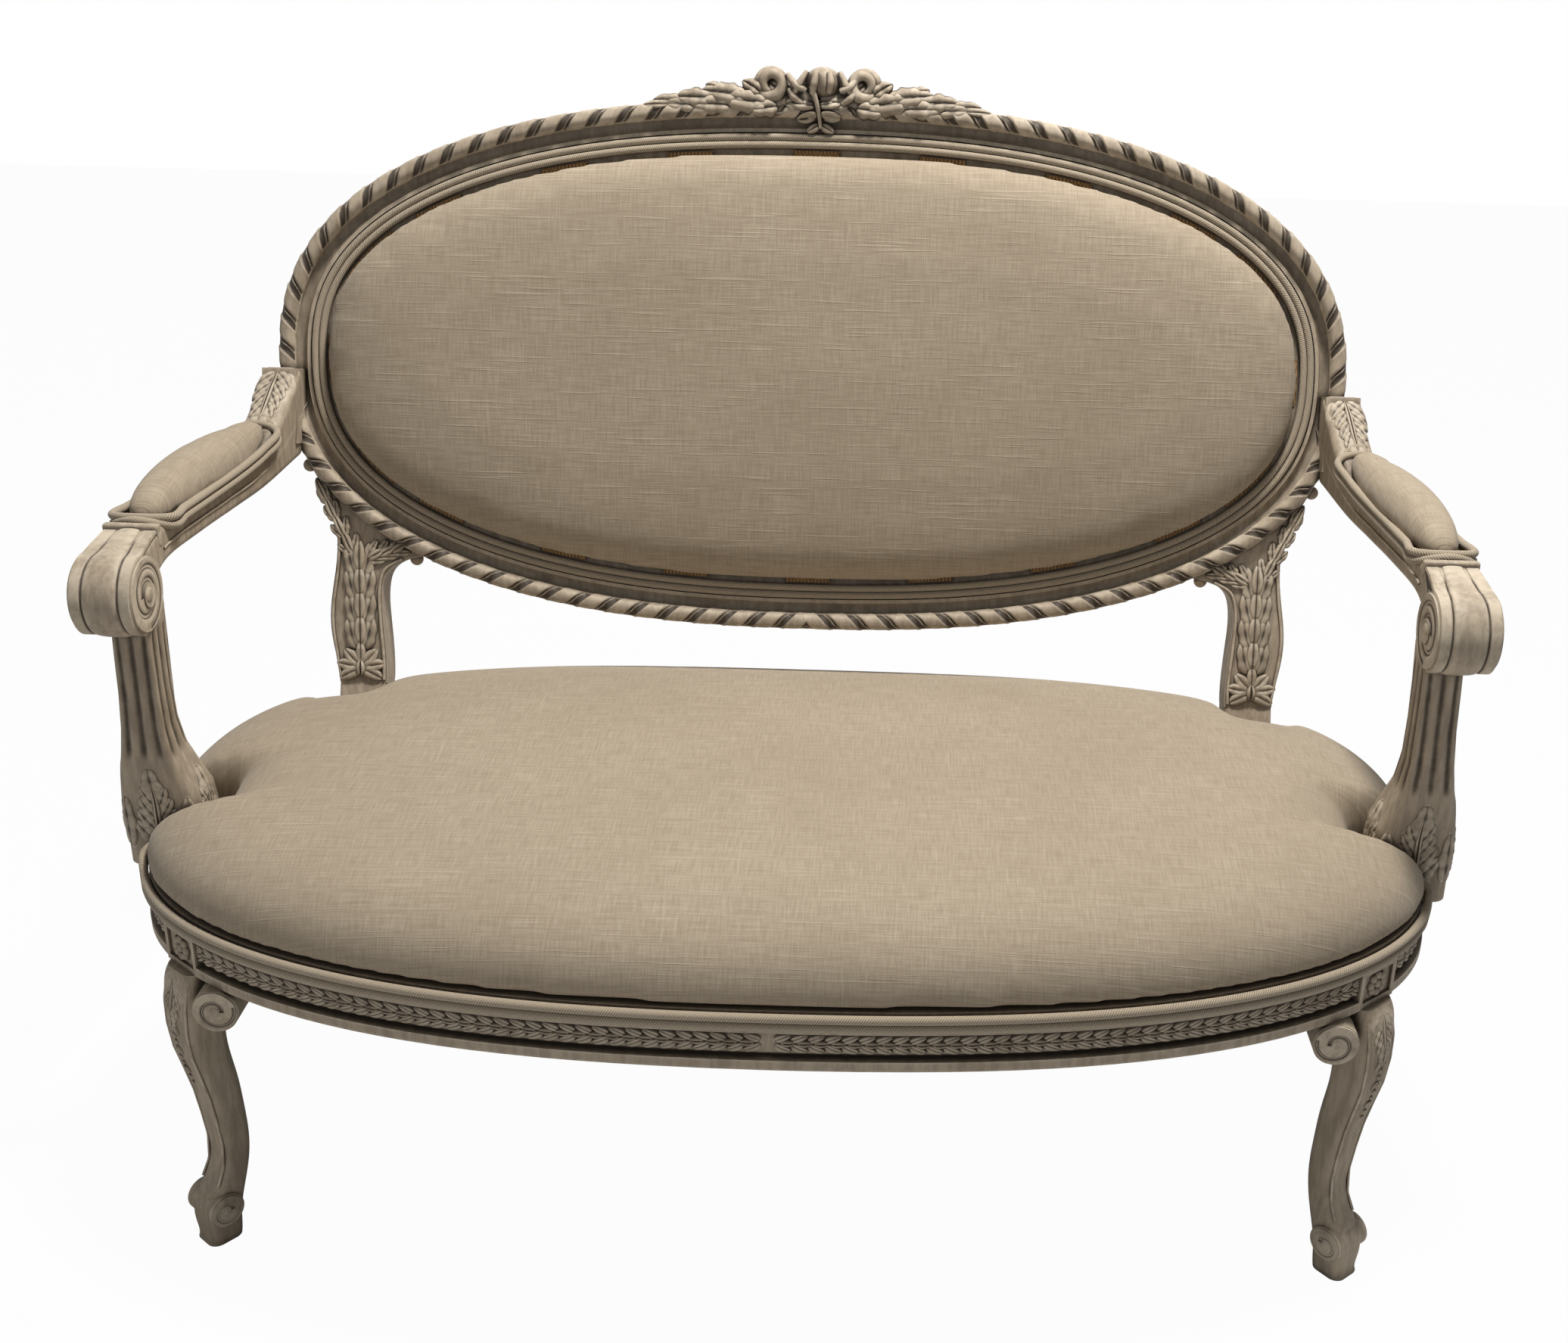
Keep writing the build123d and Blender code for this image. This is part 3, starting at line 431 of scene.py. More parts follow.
def aged_paint():
    """Old paint: brushed greige, rubbed pale on edges, brown wax and painted shade darkening the recesses."""
    group, b, takes, gives = effect(
        "aged paint",
        [("Place", "NodeSocketVector", None), ("Recess", "NodeSocketFloat", 0.0), ("Edge", "NodeSocketFloat", 0.0),
         ("Paint", "NodeSocketColor", None), ("Rubbed", "NodeSocketColor", None), ("Wax", "NodeSocketColor", None)],
        [("Colour", "NodeSocketColor"), ("Roughness", "NodeSocketFloat"), ("Height", "NodeSocketFloat")],
    )
    place = takes["Place"]
    cloudy = b.noise(place, 9, 4, 0.6)
    mottled = b.noise(place, 46, 5, 0.65)
    fine = b.noise(place, 260, 3, 0.6)
    brushed = b.noise(b.stretch(place, (1, 1, 0.16)), 150, 3, 0.6)
    colour = b.mix(b.step(cloudy, 0.3, 0.72, 0.0, 0.42), takes["Paint"], takes["Rubbed"])
    colour = b.mix(b.step(brushed, 0.36, 0.64, 0.0, 0.26), colour, takes["Wax"])
    worn = b.math("MULTIPLY", b.step(takes["Edge"], 0.1, 0.6), b.step(mottled, 0.34, 0.6))
    colour = b.mix(b.math("MULTIPLY", worn, 0.75), colour, takes["Rubbed"])
    # Painted shade and wax: the recess mask, with a little mottling, darkens the paint towards the wax colour.
    shade_and_wax_mask = b.math("ADD", takes["Recess"], b.math("MULTIPLY", b.math("SUBTRACT", mottled, 0.5), 0.5))
    shade_and_wax_mask = b.step(shade_and_wax_mask, 0.14, 0.85)
    colour = b.mix(b.math("MULTIPLY", shade_and_wax_mask, 0.93), colour, takes["Wax"])
    specks = b.step(fine, 0.68, 0.76, 0.0, 0.4)
    colour = b.mix(specks, colour, takes["Wax"])
    b.join(colour, gives["Colour"])
    b.join(b.step(mottled, 0.25, 0.75, 0.46, 0.66), gives["Roughness"])
    b.join(b.math("ADD", b.math("MULTIPLY", brushed, 0.6), b.math("MULTIPLY", fine, 0.5)), gives["Height"])
    return group


def linen_weave():
    """Plain weave linen with slubs both ways, from a map in metres."""
    group, b, takes, gives = effect(
        "linen weave",
        [("Place", "NodeSocketVector", None), ("Thread", "NodeSocketColor", None), ("Shade", "NodeSocketColor", None),
         ("Light", "NodeSocketColor", None)],
        [("Colour", "NodeSocketColor"), ("Roughness", "NodeSocketFloat"), ("Height", "NodeSocketFloat")],
    )
    place = takes["Place"]
    upright = b.noise(b.stretch(place, (1, 0.05, 0.05)), 620, 3, 0.7)
    level = b.noise(b.stretch(place, (0.045, 1, 0.05)), 560, 3, 0.7)
    slub = b.noise(b.stretch(place, (0.022, 1, 0.02)), 330, 2, 0.6)
    slub_up = b.noise(b.stretch(place, (1, 0.03, 0.02)), 330, 2, 0.6)
    tiny = b.noise(place, 900, 2, 0.6)
    cloudy = b.noise(place, 5, 3, 0.6)
    weave = b.math("ADD", b.math("MULTIPLY", upright, 0.5), b.math("MULTIPLY", level, 0.5))
    colour = b.mix(b.step(weave, 0.36, 0.64), takes["Shade"], takes["Light"])
    colour = b.mix(0.5, colour, takes["Thread"])
    colour = b.mix(b.step(slub, 0.62, 0.68, 0.0, 0.5), colour, takes["Light"])
    colour = b.mix(b.step(slub, 0.36, 0.29, 0.0, 0.5), colour, takes["Shade"])
    colour = b.mix(b.step(slub_up, 0.64, 0.71, 0.0, 0.36), colour, takes["Light"])
    colour = b.mix(b.step(cloudy, 0.35, 0.7, 0.0, 0.22), colour, takes["Shade"])
    colour = b.mix(b.step(tiny, 0.76, 0.83, 0.0, 0.6), colour, tone(84, 70, 52))
    high = b.math("ADD", b.math("MULTIPLY", weave, 1.0), b.math("MULTIPLY", b.step(slub, 0.56, 0.7), 0.7))
    b.join(colour, gives["Colour"])
    b.join(b.step(weave, 0.3, 0.7, 0.95, 0.84), gives["Roughness"])
    b.join(high, gives["Height"])
    return group


PAINT_GROUP = aged_paint()
LINEN_GROUP = linen_weave()
# The third colour is wax brown; it also serves as the painted shade in the recesses.
PAINT, RUBBED, WAX_AND_SHADE = tone(164, 149, 129), tone(204, 191, 171), tone(46, 36, 26)
LINEN, LINEN_SHADE, LINEN_LIGHT = tone(163, 149, 130), tone(141, 127, 107), tone(186, 173, 153)


def painted(name, wax_and_shade_share=1.0, recess_attribute=None):
    material, b, shader = surface(name)
    place = b.node("ShaderNodeTexCoord").outputs["Object"]
    # Ambient occlusion within 11 mm finds the recesses, which darken towards the wax colour: wax and painted shade.
    crevice = b.node("ShaderNodeAmbientOcclusion", samples=6)
    crevice.inputs["Distance"].default_value = 0.011
    crest_edge = b.node("ShaderNodeAmbientOcclusion", samples=6, inside=True)
    crest_edge.inputs["Distance"].default_value = 0.004
    recess = b.math("MULTIPLY", b.math("SUBTRACT", 1.0, crevice.outputs["AO"]), 1.25 * wax_and_shade_share)
    edge = b.math("SUBTRACT", 1.0, crest_edge.outputs["AO"])
    # A piece's own recess attribute adds more painted shade and wax in its cuts and slots.
    if recess_attribute:
        own = b.node("ShaderNodeAttribute", attribute_name=recess_attribute)
        recess = b.math("MAXIMUM", recess, own.outputs["Fac"])
    old = placed(b, PAINT_GROUP, place=place, recess=recess, edge=edge, paint=PAINT, rubbed=RUBBED, wax=WAX_AND_SHADE)
    b.join(old["Colour"], shader.inputs["Base Color"])
    b.join(old["Roughness"], shader.inputs["Roughness"])
    b.join(b.bump(old["Height"], 0.22, 0.0006), shader.inputs["Normal"])
    shader.inputs["Specular IOR Level"].default_value = 0.32
    return material


def linen(name, coordinate="UV", scale=1.0):
    material, b, shader = surface(name)
    place = b.stretch(b.node("ShaderNodeTexCoord").outputs[coordinate], (scale, scale, scale))
    cloth = placed(b, LINEN_GROUP, place=place, thread=LINEN, shade=LINEN_SHADE, light=LINEN_LIGHT)
    b.join(cloth["Colour"], shader.inputs["Base Color"])
    b.join(cloth["Roughness"], shader.inputs["Roughness"])
    b.join(b.bump(cloth["Height"], 0.5, 0.0006), shader.inputs["Normal"])
    shader.inputs["Sheen Weight"].default_value = 0.12
    shader.inputs["Sheen Roughness"].default_value = 0.5
    shader.inputs["Specular IOR Level"].default_value = 0.2
    return material


# The cord's slanting ribs, their pitch along and round it, and the knit on them, in metres.
CORD_RIB = (0.0024, 0.0044)
CORD_KNIT = 0.0013


def corded():
    """Twilled linen over cord: slanting ribs that run round it."""
    material, b, shader = surface("corded_linen")
    place = b.node("ShaderNodeTexCoord").outputs["UV"]
    parts = b.node("ShaderNodeSeparateXYZ")
    b.join(place, parts.inputs[0])
    along, across = parts.outputs[0], parts.outputs[1]
    slant = b.math("MULTIPLY", across, 2 * math.pi / CORD_RIB[1])
    turn = b.math("ADD", b.math("MULTIPLY", along, 2 * math.pi / CORD_RIB[0]), slant)
    rib = b.math("MULTIPLY", b.math("ADD", b.math("SINE", turn), 1.0), 0.5)
    knit = b.math("SINE", b.math("MULTIPLY", along, 2 * math.pi / CORD_KNIT))
    fine = b.math("MULTIPLY", b.math("ABSOLUTE", knit), 0.2)
    rib = b.math("ADD", b.math("MULTIPLY", rib, 0.8), fine)
    patch = b.noise(b.node("ShaderNodeTexCoord").outputs["Object"], 60, 3, 0.6)
    colour = b.mix(b.step(rib, 0.15, 0.85), LINEN_SHADE, LINEN_LIGHT)
    colour = b.mix(b.step(patch, 0.35, 0.7, 0.0, 0.3), colour, LINEN)
    b.join(colour, shader.inputs["Base Color"])
    b.join(b.bump(rib, 0.7, 0.0006), shader.inputs["Normal"])
    shader.inputs["Roughness"].default_value = 0.9
    shader.inputs["Sheen Weight"].default_value = 0.1
    return material


def plain_cloth(name, first, second, pitch):
    """Coarse cloth or webbing seen only from below: an over and under weave."""
    material, b, shader = surface(name)
    place = b.node("ShaderNodeTexCoord").outputs["Object"]
    parts = b.node("ShaderNodeSeparateXYZ")
    b.join(place, parts.inputs[0])
    weft = b.math("SINE", b.math("MULTIPLY", parts.outputs[0], 2 * math.pi / pitch))
    warp = b.math("SINE", b.math("MULTIPLY", parts.outputs[1], 2 * math.pi / pitch))
    over = b.math("MULTIPLY", weft, warp)
    fuzz = b.noise(place, 420, 3, 0.6)
    high = b.math("ADD", b.math("MULTIPLY", over, 0.4), fuzz)
    b.join(b.mix(b.step(high, 0.2, 0.9), first, second), shader.inputs["Base Color"])
    b.join(b.bump(high, 0.5, 0.0005), shader.inputs["Normal"])
    shader.inputs["Roughness"].default_value = 0.93
    return material


def bare_beech(name, grain_turn=(0, 0, 0), tint=1.0):
    material, b, shader = surface(name)
    place = b.stretch(b.node("ShaderNodeTexCoord").outputs["Object"], (0.12, 1, 1), grain_turn)
    grain = b.noise(place, 120, 5, 0.6)
    flecks = b.noise(b.stretch(place, (0.4, 3, 3)), 300, 2, 0.5)
    pale = tuple(c * tint for c in tone(196, 158, 112)[:3]) + (1.0,)
    deep = tuple(c * tint for c in tone(146, 104, 64)[:3]) + (1.0,)
    colour = b.mix(b.step(grain, 0.32, 0.68), deep, pale)
    colour = b.mix(b.step(flecks, 0.64, 0.72, 0.0, 0.5), colour, deep)
    b.join(colour, shader.inputs["Base Color"])
    b.join(b.step(grain, 0.3, 0.7, 0.62, 0.48), shader.inputs["Roughness"])
    b.join(b.bump(grain, 0.15, 0.0004), shader.inputs["Normal"])
    return material


def screw_steel():
    material, b, shader = surface("screw_steel")
    place = b.node("ShaderNodeTexCoord").outputs["Object"]
    dull = b.noise(place, 180, 4, 0.6)
    b.join(b.mix(b.step(dull, 0.35, 0.7), tone(150, 146, 138), tone(104, 94, 82)), shader.inputs["Base Color"])
    b.join(b.step(dull, 0.3, 0.7, 0.32, 0.55), shader.inputs["Roughness"])
    shader.inputs["Metallic"].default_value = 1.0
    return material


OLD_PAINT = painted("old_paint")
# Carvings get stronger recess darkening, with more painted shade and wax in their hollows; the ribbon paint also
# reads each piece's recess attribute.
CARVED_PAINT = painted("old_paint_carved", 1.6)
RIBBON_PAINT = painted("old_paint_ribbon", 1.5, "recess")
SEAT_LINEN = linen("seat_linen")
BACK_LINEN = linen("back_linen")
CORD_LINEN = corded()
JUTE = plain_cloth("jute_webbing", tone(116, 88, 56), tone(176, 142, 98), 0.004)
HESSIAN = plain_cloth("hessian", tone(126, 100, 68), tone(170, 142, 104), 0.0026)
DUST_CLOTH = plain_cloth("dust_cloth", tone(30, 29, 28), tone(58, 56, 53), 0.0012)
BEECH = bare_beech("bare_beech")
DOWEL_BEECH = bare_beech("dowel_beech", (0, 0, math.radians(35)), 0.9)
STEEL = screw_steel()

NODE_SURFACES = {
    "corner_blocks": BEECH, "seat_rail_dowels": DOWEL_BEECH, "back_frame_dowels": DOWEL_BEECH,
    "arm_post_dowels": DOWEL_BEECH, "arm_post_screws": STEEL, "corner_block_screws": STEEL,
}
for node_name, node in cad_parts.items():
    node.data.materials.clear()
    node.data.materials.append(NODE_SURFACES.get(node_name, OLD_PAINT))


# Seat and back upholstery


SWELL_FRAMES = 20
SWELL_PRESSURE = 4.0


def swollen(piece, voxel, cap, floor=None):
    """Remeshes a stuffed piece and lets cloth swell over the stuffing, no further than the cap."""
    modified(piece, "REMESH", mode="VOXEL", voxel_size=voxel, use_smooth_shade=True)
    modified(piece, "SMOOTH", factor=0.5, iterations=6)
    rest = [v.co.copy() for v in piece.data.vertices]
    pick(piece)
    cloth = piece.modifiers.new("cloth", "CLOTH")
    cloth.settings.use_pressure = True
    cloth.settings.uniform_pressure_force = SWELL_PRESSURE
    cloth.settings.quality = 3
    cloth.settings.effector_weights.gravity = 0.0
    cloth.point_cache.frame_start = 1
    cloth.point_cache.frame_end = SWELL_FRAMES
    for number in range(1, SWELL_FRAMES + 1):
        bpy.context.scene.frame_set(number)
    bpy.ops.object.modifier_apply(modifier=cloth.name)
    for vertex, home in zip(piece.data.vertices, rest):
        moved = vertex.co - home
        if moved.length > cap:
            vertex.co = home + moved * (cap / moved.length)
    bpy.context.scene.frame_set(1)
    modified(piece, "SMOOTH", factor=0.5, iterations=2)
    if floor is not None:
        for vertex in piece.data.vertices:
            vertex.co.z = max(vertex.co.z, floor)
    return modified(piece, "SUBSURF", levels=1, render_levels=1)


def mapped(piece, chart):
    """A fresh map from each point's place, in metres."""
    layers = piece.data.uv_layers
    while layers:
        layers.remove(layers[0])
    layer = layers.new(name="UVMap")
    for loop in piece.data.loops:
        layer.data[loop.index].uv = chart(piece.data.vertices[loop.vertex_index].co)
    return piece


def crown_at(levels, share):
    """Height and draw along a crown, share 0 at the rim and 1 at the last level."""
    at = share * (len(levels) - 1)
    k = min(int(at), len(levels) - 2)
    t = at - k
    return tuple(a + (b - a) * t for a, b in zip(levels[k], levels[k + 1]))


# Notches in the seat: (y, depth) at an arm post, (x, y) at a back stile.
POST_NOTCH = (294.0, 73.0)
STILE_NOTCH = (515.0, 551.0)


def round_posts(x, y, draw):
    """Draws the seat in round the arm posts and the back stiles."""
    post_y, deep = POST_NOTCH
    near = 1 - ease(abs(y - post_y), 38, 48)
    side = math.copysign(1, x)
    if abs(x) > 300:
        x -= side * deep * near * max(0, 1 - draw / 150)
    stile_x, stile_y = STILE_NOTCH
    if y > SEAT_WIDE_Y + 60:
        depth, power = SEAT_BACK
        edge = SEAT_WIDE_Y + depth * max(0, 1 - (min(abs(x), 640) / SEAT_HALF) ** power) ** (1 / power)
        near = 1 - ease(abs(abs(x) - stile_x), 32, 44)
        y -= max(0, edge - stile_y) * near * max(0, 1 - draw / 120)
    return x, y


def seat_form(u, v):
    if v < 0.8:
        height, draw = crown_at(SEAT_CROWN, v / 0.8)
    else:
        height, draw = SEAT_CROWN[-1][0] + 1.0 * (v - 0.8) / 0.2, 250.0
    x, y = seat_edge(360 * u, 0)
    half_y = SEAT_FRONT[0] if y < SEAT_WIDE_Y else SEAT_BACK[0]
    x, y = x * (1 - draw / SEAT_HALF), SEAT_WIDE_Y + (y - SEAT_WIDE_Y) * (1 - draw / half_y)
    if v > 0.8:
        shrink = (1 - v) / 0.2
        x, y = x * shrink, SEAT_WIDE_Y + (y - SEAT_WIDE_Y) * shrink
    return spot(*round_posts(x, y, draw), height)


def seat_chart(co):
    over = 0.447 - co.z
    side = min(max((co.y - spot(0, SEAT_WIDE_Y, 0).y) / 0.2, -1), 1)
    return co.x, co.y + side * over


def seat_upholstery():
    seat = formed("seat_linen_cover", 440, 44, seat_form)
    swollen(seat, 0.0065, 0.004, spot(0, 0, RAIL_TOP + 0.3).z)
    mapped(seat, seat_chart)
    dressed(seat, SEAT_LINEN, 180, ["seat_cushion"])


def back_form(u, v):
    if v < 0.75:
        height, draw = crown_at(BACK_CROWN, v / 0.75)
        shrink = 1
    else:
        height, draw = BACK_CROWN[-1][0] + 2.0 * (v - 0.75) / 0.25, BACK_CROWN[-1][1]
        shrink = (1 - v) / 0.25
    x, s = oval_edge(360 * u, PAD_INSET)
    half_x, half_s = OVAL[0] - PAD_INSET, OVAL[1] - PAD_INSET
    x, s = x * (1 - draw / half_x), s * (1 - draw / half_s)
    return on_back(x * shrink, s * shrink, height)


def back_chart(co):
    origin = on_back(0, 0, 0)
    return co.x, (co - origin).dot(on_back(0, 1000, 0) - origin)


def back_upholstery():
    back = formed("back_linen_cover", 200, 36, back_form)
    swollen(back, 0.006, 0.004)
    mapped(back, back_chart)
    dressed(back, BACK_LINEN, 180, ["back_cushion"])


def arm_at(y):
    for first, second in zip(ARM_ROWS, ARM_ROWS[1:]):
        if second[0] <= y <= first[0]:
            share = (first[0] - y) / (first[0] - second[0])
            return [a + (b - a) * share for a, b in zip(first, second)]
    return list(ARM_ROWS[-1] if y < ARM_ROWS[-1][0] else ARM_ROWS[0])


def arm_pad_form(u, v):
    """u round the pad, v from its back end to its front one."""
    y = ARM_PAD[1] + (ARM_PAD[0] - ARM_PAD[1]) * v
    row = arm_at(y)
    swell = math.sin(math.pi * v) ** 0.3 if 0 < v < 1 else 0.0
    half = (row[3] / 2 + 4.5) * swell
    turn = 2 * math.pi * u
    c, s = math.cos(turn), math.sin(turn)
    x = row[1] + half * math.copysign(abs(c) ** 0.6, c)
    rise = 36.0 * math.sin(math.pi * v) ** 0.42 if 0 < v < 1 else 0.0
    z = row[2] + (4 + rise * s ** 0.85 if s > 0 else 4 - 9 * swell * abs(s) ** 0.5)
    return spot(x, y, z)


def arm_pads():
    pad = formed("arm_pad_linen_left", 40, 90, arm_pad_form)
    swollen(pad, 0.0035, 0.002)
    mapped(pad, lambda co: (co.x * 1.25, co.y))
    pair(pad, SEAT_LINEN, 180, "arm_pad_")


# Double cords


def seat_cord_levels():
    low = SHOULDER + CORD_GAP + SEAT_CORD
    return low, low + 2 * SEAT_CORD + CORD_GAP


def seat_cord_front(level):
    """Line of one front cord: out of the cushion, round the post's foot, along the rail and back."""
    inner, front = -587 + SEAT_CORD + 3.6, 260 - SEAT_CORD - 0.9
    curl = [
        (inner, 318, 22), (inner, 300, 22), (inner - 0.2, 280, 21.5), (inner - 3.5, front + 8.5, 21),
        (inner - 11.5, front + 1.8, 20.5), (inner - 23, front, 20), (inner - 35, front - 0.4, 19.5),
        (inner - 46, front - 2.6, 19), (inner - 54, front - 8, 16), (inner - 57.6, front - 16.5, 10),
    ]
    inset = 3.0 - SEAT_CORD - 0.8
    along = [(*seat_edge(angle, inset), 0.0) for angle in even(196.5, 343.5, 60)]
    points = curl + along + [(-x, y, z) for x, y, z in reversed(curl)]
    return smooth_route([spot(x, y, level + z) for x, y, z in points], 6)


def seat_cord_arc(start, end, extra, level):
    inset = 3.0 - SEAT_CORD - 0.3 - extra
    return [spot(*seat_edge(angle, inset), level) for angle in even(start, end, 60)]


def cords():
    levels = seat_cord_levels()
    step = 2.2 * MM
    front = [spaced(seat_cord_front(level), step)[0] for level in levels]
    dressed(cord("seat_cord_front", front, SEAT_CORD), CORD_LINEN, 60, ["seat_welt_front"])
    rear = [spaced(seat_cord_arc(51.5, 128.5, 1.2, level), step)[0] for level in levels]
    dressed(cord("seat_cord_rear", rear, SEAT_CORD), CORD_LINEN, 60, ["seat_welt_rear"])
    side = [spaced(seat_cord_arc(179.7, 142.5, 2.3, level), step)[0] for level in levels]
    pair(cord("seat_cord_left", side, SEAT_CORD), CORD_LINEN, 60, "seat_welt_side_")
    rings = []
    for inset in BACK_CORD_INSETS:
        line = [on_back(*oval_edge(angle, inset), -3.6) for angle in even(270, 629, 359)]
        rings.append(spaced(line, step, closed=True)[0])
    dressed(cord("back_cord", rings, BACK_CORD, closed=True), CORD_LINEN, 60, ["back_welt"])
    routes = []
    for level, reach in ARM_CORD_LAYERS:
        ring = smooth_route(arm_cord_points(level, reach), 8, closed=True)
        routes.append(spaced(ring, step, closed=True)[0])
    pair(cord("arm_cord_left", routes, ARM_CORD, closed=True), CORD_LINEN, 60, "arm_welt_")


def arm_cord_points(level, reach):
    """One cord round the foot of the left arm pad."""
    out, over = ARM_CORD + 0.6, ARM_CORD + 0.8
    rows = [arm_at(ARM_PAD[1] - 4 + (ARM_PAD[0] - ARM_PAD[1] + 8) * i / 8) for i in range(9)]
    far_side = [spot(r[1] - r[3] / 2 - out, r[0], r[2] + level) for r in rows]
    near_side = [spot(r[1] + r[3] / 2 + out, r[0], r[2] + level) for r in rows]
    front, back = arm_at(ARM_PAD[0] - reach), arm_at(ARM_PAD[1] + reach)
    front_mid = spot(front[1], front[0], front[2] + over)
    back_mid = spot(back[1], back[0], back[2] + over)
    return far_side + [front_mid] + list(reversed(near_side)) + [back_mid]


# Hidden cloths and straps


def from_node(name, node_name):
    """A merged copy of a flat cloth or strap."""
    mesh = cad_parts[node_name].data.copy()
    mesh.name = name
    piece = piece_from(name, mesh)
    return outward(piece)


def hidden_cloths():
    for node_name in ("seat_webbing", "back_webbing"):
        dressed(from_node(node_name + "_straps", node_name), JUTE, 30, [node_name])
    hessian = from_node("seat_hessian", "seat_burlap")
    dressed(hessian, HESSIAN, 30, ["seat_burlap"])


def dust_outline(angle):
    x, y = seat_edge(angle, 11.0)
    return x, y - SEAT_WIDE_Y


def clear_of_legs(x, y):
    """Moves a point of the dust cloth inward of the four leg blocks."""
    side = math.copysign(1, x)
    dx, dy = LEG_OUT
    leg_x, leg_y = LEG_AT
    px, py = leg_x - abs(x), y - leg_y
    along, across = px * dx + py * dy, px * -dy + py * dx
    if abs(across) < 36 and along > -36:
        along = -36
        px, py = along * dx - across * dy, along * dy + across * dx
        return side * (leg_x - px), py + leg_y
    if abs(abs(x) - 512) < 33 and y > 552:
        return x, 552
    return x, y


def dust_form(u, v):
    x, y = dust_outline(360 * u)
    t = v ** 0.8
    x, y = clear_of_legs(x * t, SEAT_WIDE_Y + y * t)
    sag = 5.0 * (1 - v) ** 0.8 + 0.5 * math.sin(x / 45) * (1 - v)
    return spot(x, y, RAIL_BOTTOM - 0.6 - sag)


def rear_form(u, v):
    x, s = oval_edge(360 * u, 27.0)
    return on_back(x * v, s * v, -34.2 - 0.6 * math.cos(math.pi * v / 2))


def outer_cloths():
    dust = formed("dust_cloth_under", 180, 30, dust_form, closed=False)
    modified(dust, "SOLIDIFY", thickness=0.0006, offset=0)
    dressed(dust, DUST_CLOTH, 40, ["dust_cover"])
    rear = formed("back_cloth_rear", 180, 26, rear_form, closed=False)
    mapped(rear, back_chart)
    modified(rear, "SOLIDIFY", thickness=0.0008, offset=0)
    dressed(rear, BACK_LINEN, 40, ["back_cover_rear"])


# Carved and moulded wood


# Ribbon round the oval: length of one turn, its radius, how far in its middle line lies, and its slant
# as a share of a turn. The plain bead inside it: (radius, how far its middle is sunk).
RIBBON_PITCH = 34.0
RIBBON_RADIUS = 9.0
RIBBON_MIDDLE = 7.5
RIBBON_SLANT = 0.62
BEAD_ROUND = (7.69, 1.69)


class Walk:
    """A plan line measured along its length from its first point."""

    def __init__(self, rows):
        self.rows = rows
        self.reach = [0.0]
        for a, b in zip(rows, rows[1:]):
            self.reach.append(self.reach[-1] + math.hypot(b[0] - a[0], b[1] - a[1]))

    def at(self, distance):
        k = min(max(bisect.bisect_right(self.reach, distance) - 1, 0), len(self.rows) - 2)
        t = (distance - self.reach[k]) / max(self.reach[k + 1] - self.reach[k], 1e-6)
        return [a + (b - a) * t for a, b in zip(self.rows[k], self.rows[k + 1])]


def outline_walk(outline, start, end, inset, count=1800):
    """Walk along an outline between two parameter angles: point and outward direction."""
    rows = []
    for angle in even(start, end, count):
        x, y = outline(angle, inset)
        out_x, out_y = outline(angle, inset - 1)
        rows.append((x, y, out_x - x, out_y - y))
    return Walk(rows)


def bead_floor(phi):
    """Distance from the ribbon's middle line to the plain bead inside it."""
    size, sink = BEAD_ROUND
    return math.sqrt(size ** 2 - (sink * math.sin(phi)) ** 2) - sink * math.cos(phi)


def ribbon_moulding():
    """Reeded round moulding on the oval, wrapped by a ribbon whose turns leave slanting slots, painted dark as their
    shade.
    """
    walk = outline_walk(oval_edge, 270, 90, RIBBON_MIDDLE)
    length = walk.reach[-1]
    turns = round(length / RIBBON_PITCH)
    columns, around = turns * 30, 22

    def form(u, v):
        x, y, nx, ny = walk.at(u * length)
        phi = math.radians(-122 + 232 * v)
        phase = (u * turns + RIBBON_SLANT * phi / math.pi) % 1.0
        wrapped = ease(phase, 0.02, 0.1) * (1 - ease(phase, 0.52, 0.6))
        reeds = 0.6 * abs(math.sin(phi * 2.2 + 0.4)) * wrapped
        lip = 0.5 * ease(phase, 0.46, 0.54) * (1 - ease(phase, 0.56, 0.6))
        deep = ease(phase, 0.57, 0.62) * (1 - ease(phase, 0.95, 1.0))
        rod = ease(phase, 0.82, 0.845) * (1 - ease(phase, 0.885, 0.91))
        side = ease(math.cos(phi), -0.05, 0.35)
        floor_r = bead_floor(phi) + 0.35
        full = RIBBON_RADIUS + reeds + lip
        low = floor_r + (full - 0.6 - floor_r) * rod
        r = full + (low - full) * deep * side
        out = -math.sin(phi) * r
        # The second value is painted shade: dark in the slots between the turns, less on the rod inside them.
        return on_back(x + nx * out, y + ny * out, math.cos(phi) * r), deep * (1 - 0.85 * rod) * side

    left = formed("ribbon_moulding_left", columns, around, form, closed=False, shaded=True)
    carved(outward_only(left), 50)


def outward_only(piece):
    """Closes the back of an open carving and turns its faces outward."""
    work = bmesh.new()
    work.from_mesh(piece.data)
    bmesh.ops.holes_fill(work, edges=[e for e in work.edges if e.is_boundary], sides=0)
    bmesh.ops.recalc_face_normals(work, faces=work.faces)
    work.to_mesh(piece.data)
    work.free()
    return piece


